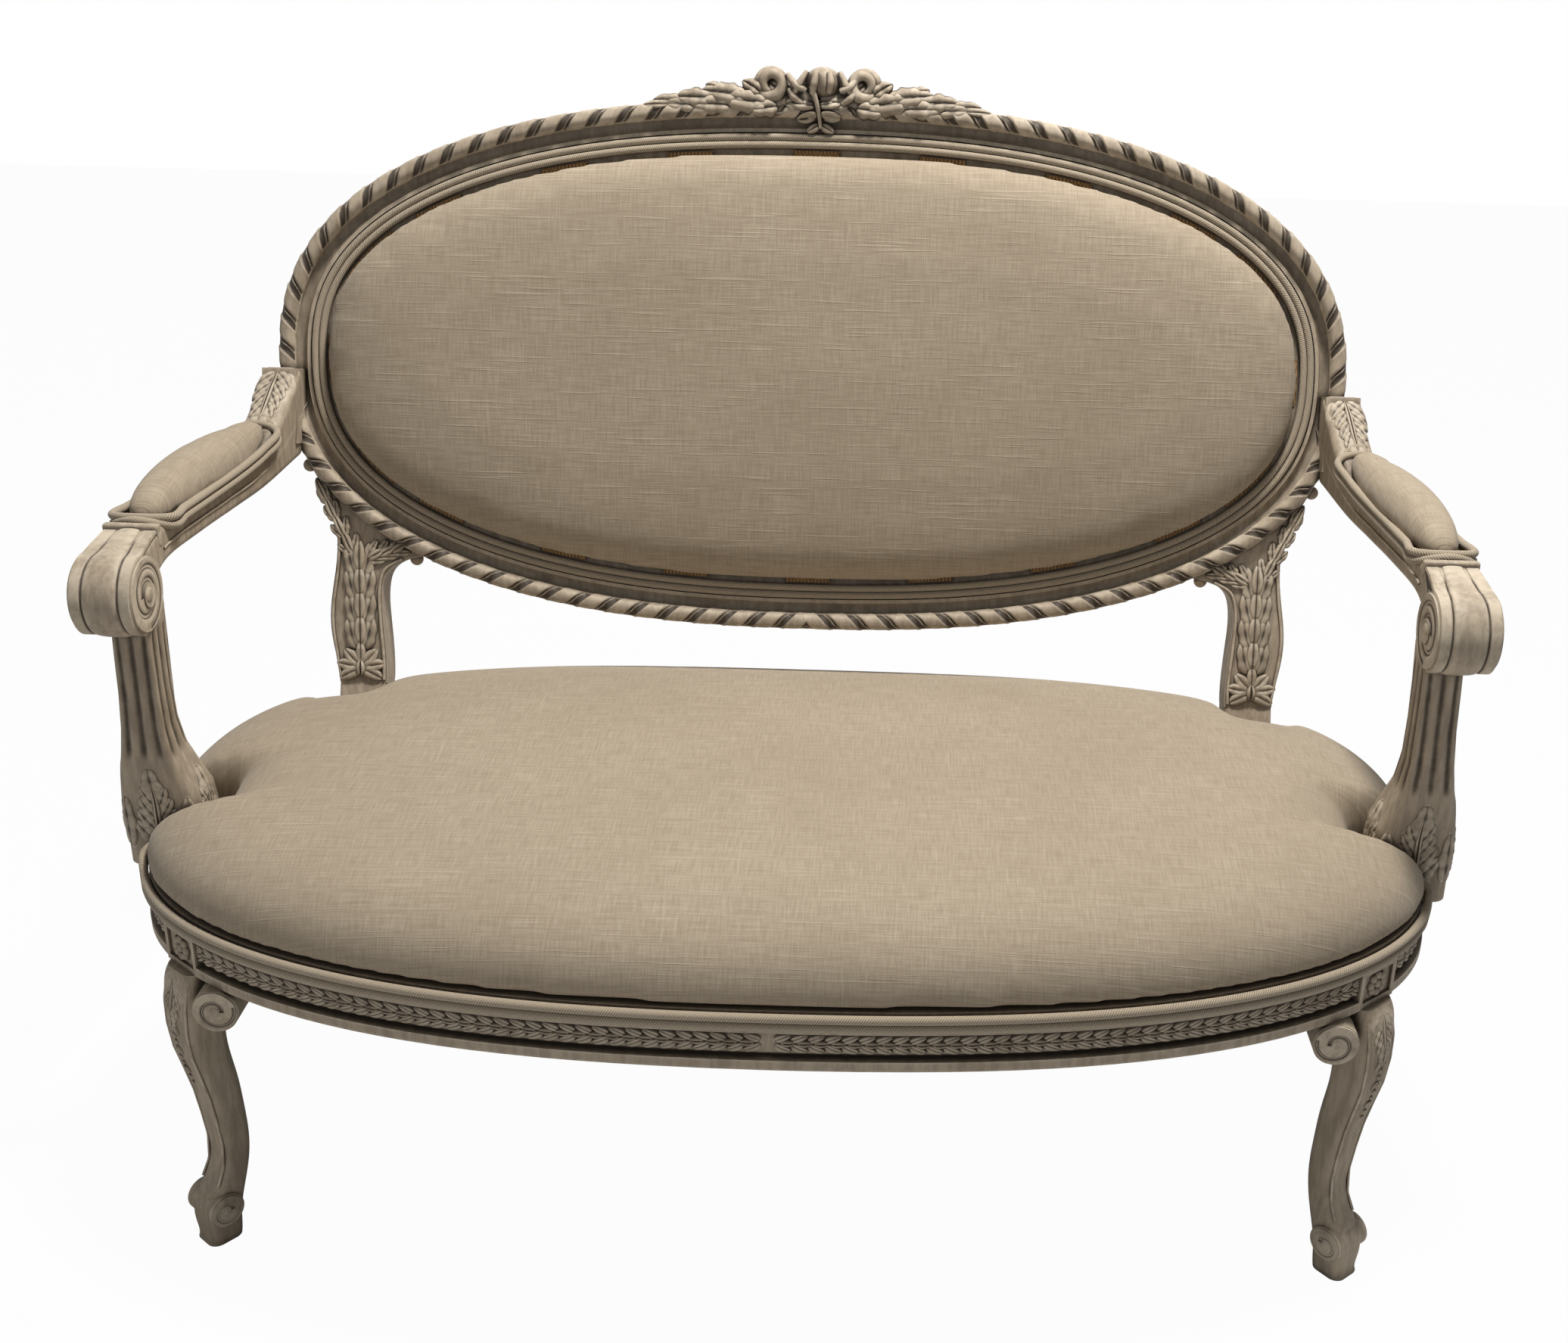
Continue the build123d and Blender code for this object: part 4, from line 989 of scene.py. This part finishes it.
def leaf_point(u, v, length, width, height, lobes, bend):
    """One leaf in the flat: across, along, out, and how dark it is painted, as shade and wax in its vein, between its
    lobes and round its sunk rim.
    """
    half = width / 2 * math.sin(math.pi * (0.03 + 0.95 * v ** 0.85)) ** 0.65
    lobe = abs(math.sin(math.pi * lobes * v)) if lobes else 1.0
    half *= 0.76 + 0.24 * lobe
    vein = math.exp(-(u / 0.17) ** 2)
    swell = math.sin(math.pi * (0.12 + 0.83 * v)) ** 0.6
    flank = (0.25 + 0.75 * math.sqrt(1 - u * u)) * (1 - 0.3 * (1 - lobe) * (1 - vein))
    out = height * (swell * flank - 0.42 * vein * swell)
    dark = 0.55 * vein + 0.5 * (1 - lobe)
    # The rim sinks into the wood and is painted dark as its shade.
    if abs(u) > 0.999 or v < 0.001 or v > 0.999:
        out, dark = -1.2, 0.9
    return u * half + bend * v * v, length * v, out, dark


def relief(name, leaves, ground, columns=8, rows=11):
    """Leaves carved on a surface: ground(a, b, h) is its point a across, b along, h out of the wood.

    A leaf is (a, b, turn from the b way, length, width, height, lobes, bend).
    """
    work = bmesh.new()
    shade = work.verts.layers.float.new("recess")
    for a, b, turn, length, width, height, lobes, bend in leaves:
        c, s = math.cos(math.radians(turn)), math.sin(math.radians(turn))
        grid = []
        for j in range(rows + 1):
            line = []
            for i in range(columns + 1):
                p, q, out, dark = leaf_point(2 * i / columns - 1, j / rows, length, width, height, lobes, bend)
                point = work.verts.new(ground(a + p * c + q * s, b - p * s + q * c, out))
                point[shade] = dark
                line.append(point)
            grid.append(line)
        for low, high in zip(grid, grid[1:]):
            for i in range(columns):
                work.faces.new((low[i], low[i + 1], high[i + 1], high[i]))
        inside = grid[1:-1]
        rim = grid[0] + [line[-1] for line in inside] + grid[-1][::-1] + [line[0] for line in reversed(inside)]
        work.faces.new(list(reversed(rim)))
    bmesh.ops.recalc_face_normals(work, faces=work.faces)
    mesh = bpy.data.meshes.new(name)
    work.to_mesh(mesh)
    work.free()
    return piece_from(name, mesh)


def acanthus(a, b, turn, length, width, height, pairs=4):
    """A lobed leaf: leaflets in pairs up its spine, one at its tip, and the spine over them."""
    c, s = math.cos(math.radians(turn)), math.sin(math.radians(turn))
    leaves = []
    for i in range(pairs):
        share = 0.04 + 0.6 * i / pairs
        size = width * (0.66 - 0.2 * i / pairs)
        for side in (-1, 1):
            leaves.append((
                a + s * share * length, b + c * share * length, turn + side * (50 - 20 * i / pairs),
                size, size * 0.55, height, 3, -side * size * 0.16,
            ))
    tip = 0.55 * length
    leaves.append((a + s * tip, b + c * tip, turn, length * 0.45, width * 0.46, height * 1.1, 3, 0))
    leaves.append((a, b, turn, length * 0.86, width * 0.15, height * 1.35, 0, 0))
    return leaves


def carved(piece, angle=60):
    """Finishes a carving and its copy on the other side."""
    pair(piece, RIBBON_PAINT, angle)


def between(rows, value):
    """Row of a rising list at a value of its first column."""
    k = min(max(bisect.bisect_right([row[0] for row in rows], value) - 1, 0), len(rows) - 2)
    t = (value - rows[k][0]) / (rows[k + 1][0] - rows[k][0])
    return [p + (q - p) * t for p, q in zip(rows[k], rows[k + 1])]


def girth(width, depth, soft):
    """Length round a rounded rectangle."""
    return 2 * (width + depth) - (8 - 2 * math.pi) * soft * min(width, depth)


def round_section(width, depth, soft, a):
    """Point and outward direction a way round a rounded rectangle from the middle of its front."""
    r = soft * min(width, depth)
    side, t = math.copysign(1, a), abs(a)
    flat, bend, flank = width / 2 - r, r * math.pi / 2, depth - 2 * r
    if t <= flat:
        x, y, nx, ny = t, -depth / 2, 0, -1
    elif t <= flat + bend:
        turn = (t - flat) / r
        nx, ny = math.sin(turn), -math.cos(turn)
        x, y = flat + r * nx, r - depth / 2 + r * ny
    elif t <= flat + bend + flank:
        x, y, nx, ny = width / 2, r - depth / 2 + t - flat - bend, 1, 0
    elif t <= flat + 2 * bend + flank:
        turn = (t - flat - bend - flank) / r
        nx, ny = math.cos(turn), math.sin(turn)
        x, y = flat + r * nx, depth / 2 - r + r * ny
    else:
        x, y, nx, ny = 2 * flat + 2 * bend + flank - t, depth / 2, 0, 1
    return side * x, y, side * nx, ny


def on_post(a, b, h):
    """Side of the left arm post: a round it from its front, b up, h out of the wood."""
    _, x, y, width, depth = between(POST_ROWS, b)
    px, py, nx, ny = round_section(width, depth, POST_SOFT, a)
    return spot(x + px + nx * h, y + py + ny * h, b)


def on_leg(a, b, h):
    """Side of the left front leg: a round it from its front, b up, h out of the wood."""
    _, out, drift, width = between(LEG_ROWS, b)
    px, py, nx, ny = round_section(width, width, LEG_SOFT, a)
    px, py = px + nx * h, py + ny * h
    across = (-LEG_OUT[1], LEG_OUT[0])
    out_by, along = out - py, drift + px
    leg_x = -LEG_AT[0] + LEG_OUT[0] * out_by + across[0] * along
    leg_y = LEG_AT[1] + LEG_OUT[1] * out_by + across[1] * along
    return spot(leg_x, leg_y, b)


POST_FLUTES = 12
POST_SOFT = 0.22
LEG_SOFT = 0.3


def arm_posts():
    """Fluted posts with a leaf standing on each side of the foot."""
    bottom, top = POST_ROWS[0][0], POST_ROWS[-1][0]

    def form(u, v):
        z = bottom + (top - bottom) * v
        _, x, y, width, depth = between(POST_ROWS, z)
        reach = ease(z, 456, 478) * (1 - ease(z, 600, 608))
        cut = (0.5 + 0.5 * math.cos(2 * math.pi * POST_FLUTES * u)) ** 1.3 * reach
        # The flutes are painted darker as their shade.
        return on_post((u - 0.5) * girth(width, depth, POST_SOFT) * 0.9999, z, -2.2 * cut), 0.75 * cut

    post = formed("arm_post_fluted_left", 144, 70, form, shaded=True)
    leaves = []
    for a, length, width in ((0, 92, 56), (61, 80, 50), (-61, 80, 50)):
        leaves += acanthus(a, 366, 0, length, width, 3.4)
    for a in (-31, 31):
        leaves.append((a, 364, 0, 62, 20, 3.6, 3, 0))
    foot = relief("arm_post_leaf_left", leaves, on_post)
    carved(foot)
    pair(post, RIBBON_PAINT, 50, "arm_post_")


def arm_line():
    """Top line of the arm in (y, z), from the oval to the scroll, with its outward direction."""
    tops = []
    for (y, _, top, _, depth), lean in zip(ARM_ROWS, ARM_LEANS):
        lean = math.radians(lean)
        tops.append(Vector((0, y - depth / 2 * math.sin(lean), top - depth / 2 + depth / 2 * math.cos(lean))))
    points = smooth_route(tops, 8)
    rows = []
    for i, point in enumerate(points):
        run = points[min(i + 2, len(points) - 1)] - points[max(i - 2, 0)]
        size = run.length
        rows.append((point.y, point.z, run.z / size, -run.y / size))
    return Walk(rows)


ARM_EDGE = 9


def on_arm(a, b, h):
    """Top of the arm with its rounded edges: a across, b along, h out of the wood."""
    y, z, ny, nz = ARM_LINE.at(b)
    row = arm_at(y)
    past = max(abs(a) - row[3] / 2 + ARM_EDGE, 0)
    fall = ARM_EDGE - math.sqrt(max(ARM_EDGE ** 2 - past ** 2, 0))
    return spot(row[1] + a, y + ny * (h - fall), z + nz * (h - fall))


def strap_line():
    """Line of the strap in (y, z): along the arm's end and over the scroll."""
    _, y0, z0, radius, _ = SCROLL
    rows = [(y, arm_at(y)[2], 0, 1) for y in even(296, 254, 12)]
    for turn in even(88, 262, 60):
        c, s = math.cos(math.radians(turn)), math.sin(math.radians(turn))
        rows.append((y0 + radius * c, z0 + radius * s, c, s))
    return Walk(rows)


def arm_strap_form(u, v):
    """Broad strap over the scroll: a swelled middle panel between two fillets, with grooves between them painted dark
    as their shade.
    """
    y, z, ny, nz = STRAP_LINE.at(v * STRAP_LINE.reach[-1])
    half = 25.5 + 3 * ease(v, 0, 0.35)
    across = (2 * u - 1) * half
    t = abs(across) / half
    panel = 0.4 + 0.14 * ease(v, 0, 0.6)
    line = math.exp(-((t - panel - 0.05) / 0.035) ** 2)
    h = 1.5 + 2.2 * math.sqrt(max(0, 1 - (t / panel) ** 2)) if t < panel else 1.9
    h = h * (1 - line) + 0.15 * line
    dark = line
    # The sunk rim is painted dark as its shade.
    if t > 0.985 or v < 0.001 or v > 0.999:
        h, dark = -1.0, 0.6
    return spot(SCROLL[0] + across, y + ny * h, z + nz * h), dark


def volute(name, centre, axis, up, radius, turns, lift=1.6, hand=1):
    """Disc with a spiral line cut in it and a button in the middle; the cut and the sunk rim are painted dark as
    their shade. axis is the way that it faces.
    """
    axis = Vector(axis).normalized()
    up = Vector(up)
    up = (up - axis * up.dot(axis)).normalized()
    level = up.cross(axis) * hand

    def form(u, v):
        turn, r = 2 * math.pi * u, radius * v
        nearest = 99.0
        for k in range(int(turns) + 1):
            share = (u + k) / turns
            if share <= 1:
                nearest = min(nearest, abs(r - radius * (0.3 + 0.58 * share)))
        line = math.exp(-(nearest / (0.075 * radius + 0.3)) ** 2)
        h = lift - 1.9 * line
        if v < 0.24:
            h = lift + 0.09 * radius * math.sqrt(1 - (v / 0.24) ** 2)
        if v > 0.999:
            h, line = -1.0, 0.5
        flat = level * math.cos(turn) + up * math.sin(turn)
        return centre + (flat * r + axis * h) * MM, line

    return formed(name, 72, 30, form, shaded=True)


# Collar where the pad ends, its size in metres.
COLLAR_AT = (-628, 300, 683)
COLLAR_SIZE = (0.0535, 0.009, 0.022)


def arms():
    """Strap and volutes on the scroll, collar, leaf at the oval and lines down both sides."""
    strap = formed("arm_scroll_strap_left", 56, 90, arm_strap_form, shaded=True, closed=False)
    carved(outward_only(strap), 50)
    x, y, z, radius, width = SCROLL
    for name, side in (("outer", -1), ("inner", 1)):
        disc = volute("arm_volute_%s_left" % name, spot(x + side * (width / 2 - 0.4), y, z), (side, 0, 0), (0, 0, 1),
                      radius - 0.5, 1.75, 2.0, -side)
        carved(disc, 50)
    bpy.ops.object.select_all(action="DESELECT")
    bpy.ops.mesh.primitive_cube_add(size=1)
    collar = bpy.context.object
    collar.name = "arm_collar_left"
    collar.data.transform(Matrix.Translation(spot(*COLLAR_AT)) @ Matrix.Diagonal((*COLLAR_SIZE, 1)))
    modified(collar, "BEVEL", width=0.0025, segments=3)
    pair(collar, OLD_PAINT, 40)
    leaf = relief("arm_leaf_left", acanthus(0, 4, 0, 92, 50, 3.4, 4), on_arm)
    carved(leaf)
    lines = []
    for side in (-1, 1):
        line = []
        for b in even(8, ARM_LINE.reach[-1] - 60, 60):
            y, z, ny, nz = ARM_LINE.at(b)
            row = arm_at(y)
            line.append(spot(row[1] + side * (row[3] / 2 + 0.1), y - ny * row[4] * 0.55, z - nz * row[4] * 0.55))
        lines.append(line)
    carved(cord("arm_side_line_left", lines, 1.5, 8))


def on_stile(a, b, h):
    """Front face of a back stile."""
    return on_back(a, b, h - 3)


def stiles():
    """Palmette at the foot of each back stile, husks above it, and sprays that part under the oval."""
    leaves = [(-513, -352, turn, 29, 19, 4.5, 0, 0) for turn in (-118, -80, -42, 42, 80, 118)]
    leaves += [(-513, -349, 0, 30, 14, 4.8, 0, 0), (-513, -362, 0, 20, 13, 7, 0, 0)]
    for k in range(4):
        foot = -332 + 28 * k
        for side in (-1, 1):
            leaves.append((-513 + 3 * side, foot, side * 26, 42, 22, 4.6, 2, -side * 9))
        leaves.append((-513, foot + 6, 0, 38, 17, 6.2, 0, 0))
    for k in range(4):
        x, s = -520 - 9.5 * k, -222 + 19 * k
        leaves += [
            (x, s, -66 + 8 * k, 22, 12, 4, 2, 3), (x, s, 14 - 6 * k, 26, 13, 4.2, 3, -2),
            (x, s, -24, 32, 12, 5, 0, 0),
        ]
    for k in range(3):
        x, s = -505 + 14 * k, -228 + 5 * k
        leaves += [
            (x, s, 96, 24, 12, 4, 2, -3), (x, s, 24, 28 - 5 * k, 13, 4.2, 3, 2), (x, s, 58, 28 - 3 * k, 12, 5, 0, 0),
        ]
    carved(relief("stile_leaf_left", leaves, on_stile))
    outer = [
        (-536, -366), (-539, -345), (-544, -310), (-544, -281), (-538, -240), (-536, -196), (-546, -156),
        (-560, -130), (-572, -108),
    ]
    inner = [(-487, -366), (-487, -340), (-490, -300), (-491, -262), (-484, -238), (-464, -226)]
    routes = [smooth_route([on_stile(x, s, 0.6) for x, s in line], 8) for line in (outer, inner)]
    carved(cord("stile_border_left", routes, 1.9, 8))


def on_rail(a, b, h):
    """Sunk band of the rails: a up, b along from the middle of the front, h out of the wood."""
    x, y, nx, ny = RAIL_WALK.at(b)
    return spot(x + nx * h, y + ny * h, 329 + a)


def laurel():
    """Laurel running along the sunk band of the rails from the middle to the sides."""
    leaves = []
    for b in even(5, 1020, 68):
        x, y, _, _ = RAIL_WALK.at(b)
        if y > 548 or math.hypot(x + LEG_AT[0] + 8, y - LEG_AT[1] + 8) < 36:
            continue
        leaves += [
            (1.4, b, 30, 19, 10, 3.8, 0, -2), (-1.4, b, -30, 19, 10, 3.8, 0, 2), (0, b + 5, 0, 16, 7.5, 4.8, 0, 0),
        ]
    carved(relief("rail_laurel_left", leaves, on_rail, 6, 7))


# Foot scroll: out along the leg's diagonal, sideways drift, height, and half its width.
FOOT_SCROLL = (20, 16, 40, 21.6)


def front_legs():
    """Leaf and bead drop on the knee, raised lines down the leg, scrolls under the rail and at the foot."""
    leaves = acanthus(0, 300, 180, 56, 38, 3.0, 3)
    for k in range(9):
        z, size = 247 - 8.2 * k, 7.5 - 0.45 * k
        leaves.append((0, z + size / 2, 180, size, size * 0.85, 3.2 - 0.15 * k, 0, 0))
        if k % 3 == 0:
            leaves += [(0, z + 4, 180 + side * 38, 14 - k, 6, 2.6, 0, 0) for side in (-1, 1)]
    carved(relief("leg_drop_left", leaves, on_leg))
    lines = []
    for side in (-1, 1):
        lines.append([on_leg(side * between(LEG_ROWS, z)[3] * 0.4, z, 0.2) for z in even(292, 66, 60)])
    carved(cord("leg_line_left", lines, 1.6, 8))
    knee = volute("knee_volute_left", spot(-526, 99.4, 282), (0, -1, 0), (0, 0, 1), 21.5, 1.05, 1.8)
    carved(knee, 50)
    along = Vector((-LEG_OUT[1], LEG_OUT[0], 0))
    out, drift, height, half = FOOT_SCROLL
    for name, side in (("inner", 1), ("outer", -1)):
        shift = drift + side * half
        x = -LEG_AT[0] + LEG_OUT[0] * out + along.x * shift
        y = LEG_AT[1] + LEG_OUT[1] * out + along.y * shift
        name = "foot_volute_%s_left" % name
        carved(volute(name, spot(x, y, height), along * side, (0, 0, 1), 17.2, 1.02, 1.4, side), 50)


def over_moulding(a, b, h):
    """Surface of the oval's top middle: a across, b up the back's slope, h out of the ribbon moulding."""
    reach = RIBBON_RADIUS + 0.9
    rise = math.sqrt(max(reach ** 2 - (b - OVAL[1] + RIBBON_MIDDLE) ** 2, 0))
    return on_back(a, b, rise + h)


def on_garland(a, b, h):
    """Edge of the oval beside the crest: a out from it, b along from its top, h forward."""
    x, s, nx, ny = CREST_WALK.at(abs(b))
    return on_back(x + nx * a, s + ny * a, 5 + h)


def crest_bud():
    """Ribbed bud between the roses."""
    def form(u, v):
        turn, fall = 2 * math.pi * u, math.pi * (0.02 + 0.96 * v)
        ribs = 1 + 0.045 * math.cos(9 * turn) * math.sin(fall) ** 2
        x, s, h = math.sin(fall) * math.cos(turn) * 20, math.cos(fall) * 17, math.sin(fall) * math.sin(turn) * 17
        # The furrows between the ribs are painted darker as their shade.
        return on_back(6 + x * ribs, 311 + s, 3 + h * ribs), 0.35 * ease(-math.cos(9 * turn), 0.2, 1)

    bud = formed("crest_bud", 108, 40, form, shaded=True)
    dressed(bud, RIBBON_PAINT, 60, ["crest_carving"])


def crest():
    """Bud, two curled roses with seeds, straps, a stem with its leaves and a garland to each side."""
    crest_bud()
    curl, cup_rim = [], []
    for k in range(61):
        t = k / 60
        turn = math.radians(-150 + 520 * t)
        r = 14.0 * (1 - 0.6 * t)
        curl.append(on_back(50 - r * math.cos(turn), 308 + r * math.sin(turn), 1 + 10 * math.sin(math.pi * t ** 0.8)))
    carved(cord("crest_rose_right", [curl], lambda t: 7.6 - 4.2 * t, 14))
    for k in range(49):
        turn = 2 * math.pi * k / 48
        cup_rim.append(on_back(51 + 14 * math.cos(turn), 308 + 15 * math.sin(turn), -5 + 3 * math.cos(turn)))
    carved(cord("crest_rose_back_right", [cup_rim[:-1]], 6.2, 12, closed=True))
    # The hollow of the rose first, a sunk ball painted dark as its shade, then its seeds, a little darker: (across,
    # up, out, radius, how dark).
    shade_hollow_and_seeds = [
        (51, 306, -10, 10.5, 1.0), (47, 311, 4, 2.6, 0.25), (53, 304, 4, 2.8, 0.25), (55, 311, 3, 2.4, 0.25),
        (48, 303, 4, 2.2, 0.25),
    ]
    for k, (x, s, h, size, dark) in enumerate(shade_hollow_and_seeds):
        bpy.ops.object.select_all(action="DESELECT")
        bpy.ops.mesh.primitive_uv_sphere_add(segments=20, ring_count=12, radius=size * MM)
        seed = bpy.context.object
        seed.name = "crest_seed_%d_right" % k
        seed.data.transform(Matrix.Translation(on_back(x, s, h)))
        recess = seed.data.attributes.new("recess", "FLOAT", "POINT").data
        recess.foreach_set("value", [dark] * len(seed.data.vertices))
        carved(seed)
    straps = [
        [(-11, 321, 15), (-19, 308, 16), (-27, 296, 11)], [(-33, 318, 12), (-24, 307, 16), (-12, 301, 15)],
        [(-31, 303, 13), (-25, 294, 12), (-16, 288, 10)], [(24, 321, 14), (31, 308, 15), (38, 297, 11)],
        [(44, 317, 12), (36, 306, 15), (25, 301, 15)], [(43, 302, 12), (36, 294, 12), (27, 288, 10)],
        [(-1, 320, 20), (-3, 308, 21), (-5, 297, 16)], [(13, 320, 19), (15, 309, 20), (13, 299, 16)],
    ]
    routes = [smooth_route([on_back(*p) for p in line], 8) for line in straps]
    dressed(cord("crest_straps", routes, lambda t: 4.4 - 1.6 * abs(2 * t - 1), 10), CARVED_PAINT, 60)
    stem = [(-6, 305, 19), (-2, 294, 15), (1, 283, 11.5), (3, 272, 5), (4, 263, 2)]
    stem = smooth_route([on_back(*p) for p in stem], 8)
    dressed(cord("crest_stem", [stem], lambda t: 3.0 - 1.0 * t, 10), CARVED_PAINT, 60)
    leaves = [
        (-3, 293, -70, 36, 16, 4.4, 0, 3), (-1, 286, -88, 32, 15, 4.2, 0, 3), (1, 277, -110, 24, 13, 4.2, 0, 3),
        (3, 268, -130, 17, 11, 4, 0, 2), (0, 294, 64, 38, 17, 4.4, 0, -3), (2, 286, 80, 33, 15, 4.2, 0, -3),
        (3, 277, 104, 24, 13, 4.2, 0, -3), (4, 268, 128, 18, 11, 4, 0, -2), (-5, 297, -26, 22, 13, 5, 0, 0),
        (1, 297, 28, 22, 13, 5, 0, 0),
    ]
    dressed(relief("crest_stem_leaves", leaves, over_moulding), RIBBON_PAINT, 60)
    garland = [
        (-4, 52, 6, 62, 30, 10, 4, 4), (3, 74, 12, 54, 27, 10, 4, -3), (-5, 92, 2, 50, 25, 8, 3, 3),
        (2, 112, 8, 44, 24, 8, 3, -2), (-4, 130, 4, 38, 20, 6, 2, 2), (2, 146, 6, 34, 16, 5, 2, -1),
        (-1, 162, 2, 30, 11, 4, 0, 0), (7, 60, 38, 26, 20, 9, 2, -2), (8, 100, 30, 24, 17, 7, 2, -2),
        (-6, 42, -10, 34, 24, 9, 2, 3), (-4, 36, 170, 26, 20, 8, 2, 2), (4, 34, 40, 26, 20, 8, 2, 0),
    ]
    carved(relief("crest_garland_right", garland, on_garland))
    body = [on_garland(1.0 + 3 * math.cos(b / 23), b, -8) for b in even(4, 186, 60)]
    carved(cord("crest_root_right", [body], lambda t: 10.5 * (1 - t) ** 0.5 + 2.2, 12))


ARM_LINE = arm_line()
STRAP_LINE = strap_line()
RAIL_WALK = outline_walk(seat_edge, 270, 140, 4.2)
CREST_WALK = outline_walk(oval_edge, 90, 30, 0)


def carved_wood():
    laurel()
    front_legs()
    arm_posts()
    arms()
    stiles()
    crest()


# Photographer's side: camera, lamps, floor


# The photograph: its size and optical centre in pixels, and where its lens stood and faced.
PHOTO_SIZE = (2072, 1775)
PHOTO_CENTRE = (1169.68179, 884.651783)
PHOTO_FOCAL = 2400
EYE_PLACE = (103.565456, -1333.02939, 1261.51491)
EYE_TURN = (0.402898803, -0.00617586741, 0.0262755907)


def camera():
    pitch, yaw, roll = EYE_TURN
    ahead = Vector((math.sin(yaw) * math.cos(pitch), math.cos(yaw) * math.cos(pitch), -math.sin(pitch)))
    level = Vector((math.cos(yaw), -math.sin(yaw), 0))
    over = level.cross(ahead)
    across = level * math.cos(roll) + over * math.sin(roll)
    up = over * math.cos(roll) - level * math.sin(roll)
    data = bpy.data.cameras.new("camera")
    eye = bpy.data.objects.new("camera", data)
    bpy.context.scene.collection.objects.link(eye)
    turn = Matrix((across, up, -ahead)).transposed().to_4x4()
    eye.matrix_world = Matrix.Translation(spot(*EYE_PLACE)) @ turn
    data.sensor_fit = "HORIZONTAL"
    data.sensor_width = 36.0
    data.lens = 36.0 * PHOTO_FOCAL / PHOTO_SIZE[0]
    data.shift_x = (PHOTO_SIZE[0] / 2 - PHOTO_CENTRE[0]) / PHOTO_SIZE[0]
    data.shift_y = (PHOTO_CENTRE[1] - PHOTO_SIZE[1] / 2) / PHOTO_SIZE[0]
    data.clip_start = 0.05
    bpy.context.scene.camera = eye


def lamp(name, place, aim, size, power, colour=(1, 1, 1)):
    data = bpy.data.lights.new(name, "AREA")
    data.shape = "DISK"
    data.size = size
    data.energy = power
    data.color = colour
    light = bpy.data.objects.new(name, data)
    light.location = place
    light.rotation_euler = (Vector(aim) - Vector(place)).to_track_quat("-Z", "Y").to_euler()
    bpy.context.scene.collection.objects.link(light)


def studio():
    lamp("lamp_key", (0.5, -0.05, 3.2), (0.0, 0.0, 0.5), 0.5, 96, (1.0, 0.97, 0.93))
    lamp("lamp_fill", (-2.2, -2.6, 1.9), (0, 0, 0.5), 2.2, 7, (1.0, 0.98, 0.95))
    lamp("lamp_low", (-0.6, -2.6, 0.25), (0, 0, 0.2), 1.4, 5, (1.0, 0.98, 0.95))
    lamp("lamp_rear", (0.6, 2.4, 2.4), (0, 0, 0.6), 1.8, 14)
    world = bpy.data.worlds.new("studio")
    world.use_nodes = True
    bpy.context.scene.world = world
    bench = Bench(world.node_tree)
    world.node_tree.nodes.clear()
    plain, seen = bench.node("ShaderNodeBackground"), bench.node("ShaderNodeBackground")
    plain.inputs["Color"].default_value = (0.95, 0.97, 1.0, 1)
    plain.inputs["Strength"].default_value = 0.15
    seen.inputs["Color"].default_value = (1, 1, 1, 1)
    seen.inputs["Strength"].default_value = 1.0
    ray = bench.node("ShaderNodeLightPath")
    mirror = bench.math("MAXIMUM", ray.outputs["Is Glossy Ray"], ray.outputs["Is Transmission Ray"])
    white = bench.math("MAXIMUM", ray.outputs["Is Camera Ray"], mirror)
    chooser, out = bench.node("ShaderNodeMixShader"), bench.node("ShaderNodeOutputWorld")
    bench.join(white, chooser.inputs[0])
    bench.join(plain.outputs[0], chooser.inputs[1])
    bench.join(seen.outputs[0], chooser.inputs[2])
    bench.join(chooser.outputs[0], out.inputs[0])
    bpy.context.scene.view_settings.view_transform = "Standard"


def floor():
    bpy.ops.object.select_all(action="DESELECT")
    bpy.ops.mesh.primitive_plane_add(size=14, location=(0, 0, 0))
    ground = bpy.context.object
    ground.name = "floor"
    material, b, shader = surface("pale_floor")
    shader.inputs["Base Color"].default_value = (0.62, 0.62, 0.62, 1)
    shader.inputs["Roughness"].default_value = 0.9
    glow = b.node("ShaderNodeEmission")
    ray = b.node("ShaderNodeLightPath")
    chooser = b.node("ShaderNodeMixShader")
    b.join(b.math("MULTIPLY", ray.outputs["Is Camera Ray"], 0.97), chooser.inputs[0])
    b.join(shader.outputs[0], chooser.inputs[1])
    b.join(glow.outputs[0], chooser.inputs[2])
    out = next(n for n in material.node_tree.nodes if n.type == "OUTPUT_MATERIAL")
    b.join(chooser.outputs[0], out.inputs[0])
    ground.data.materials.append(material)


seat_upholstery()
back_upholstery()
arm_pads()
cords()
hidden_cloths()
outer_cloths()
ribbon_moulding()
carved_wood()
camera()
studio()
floor()
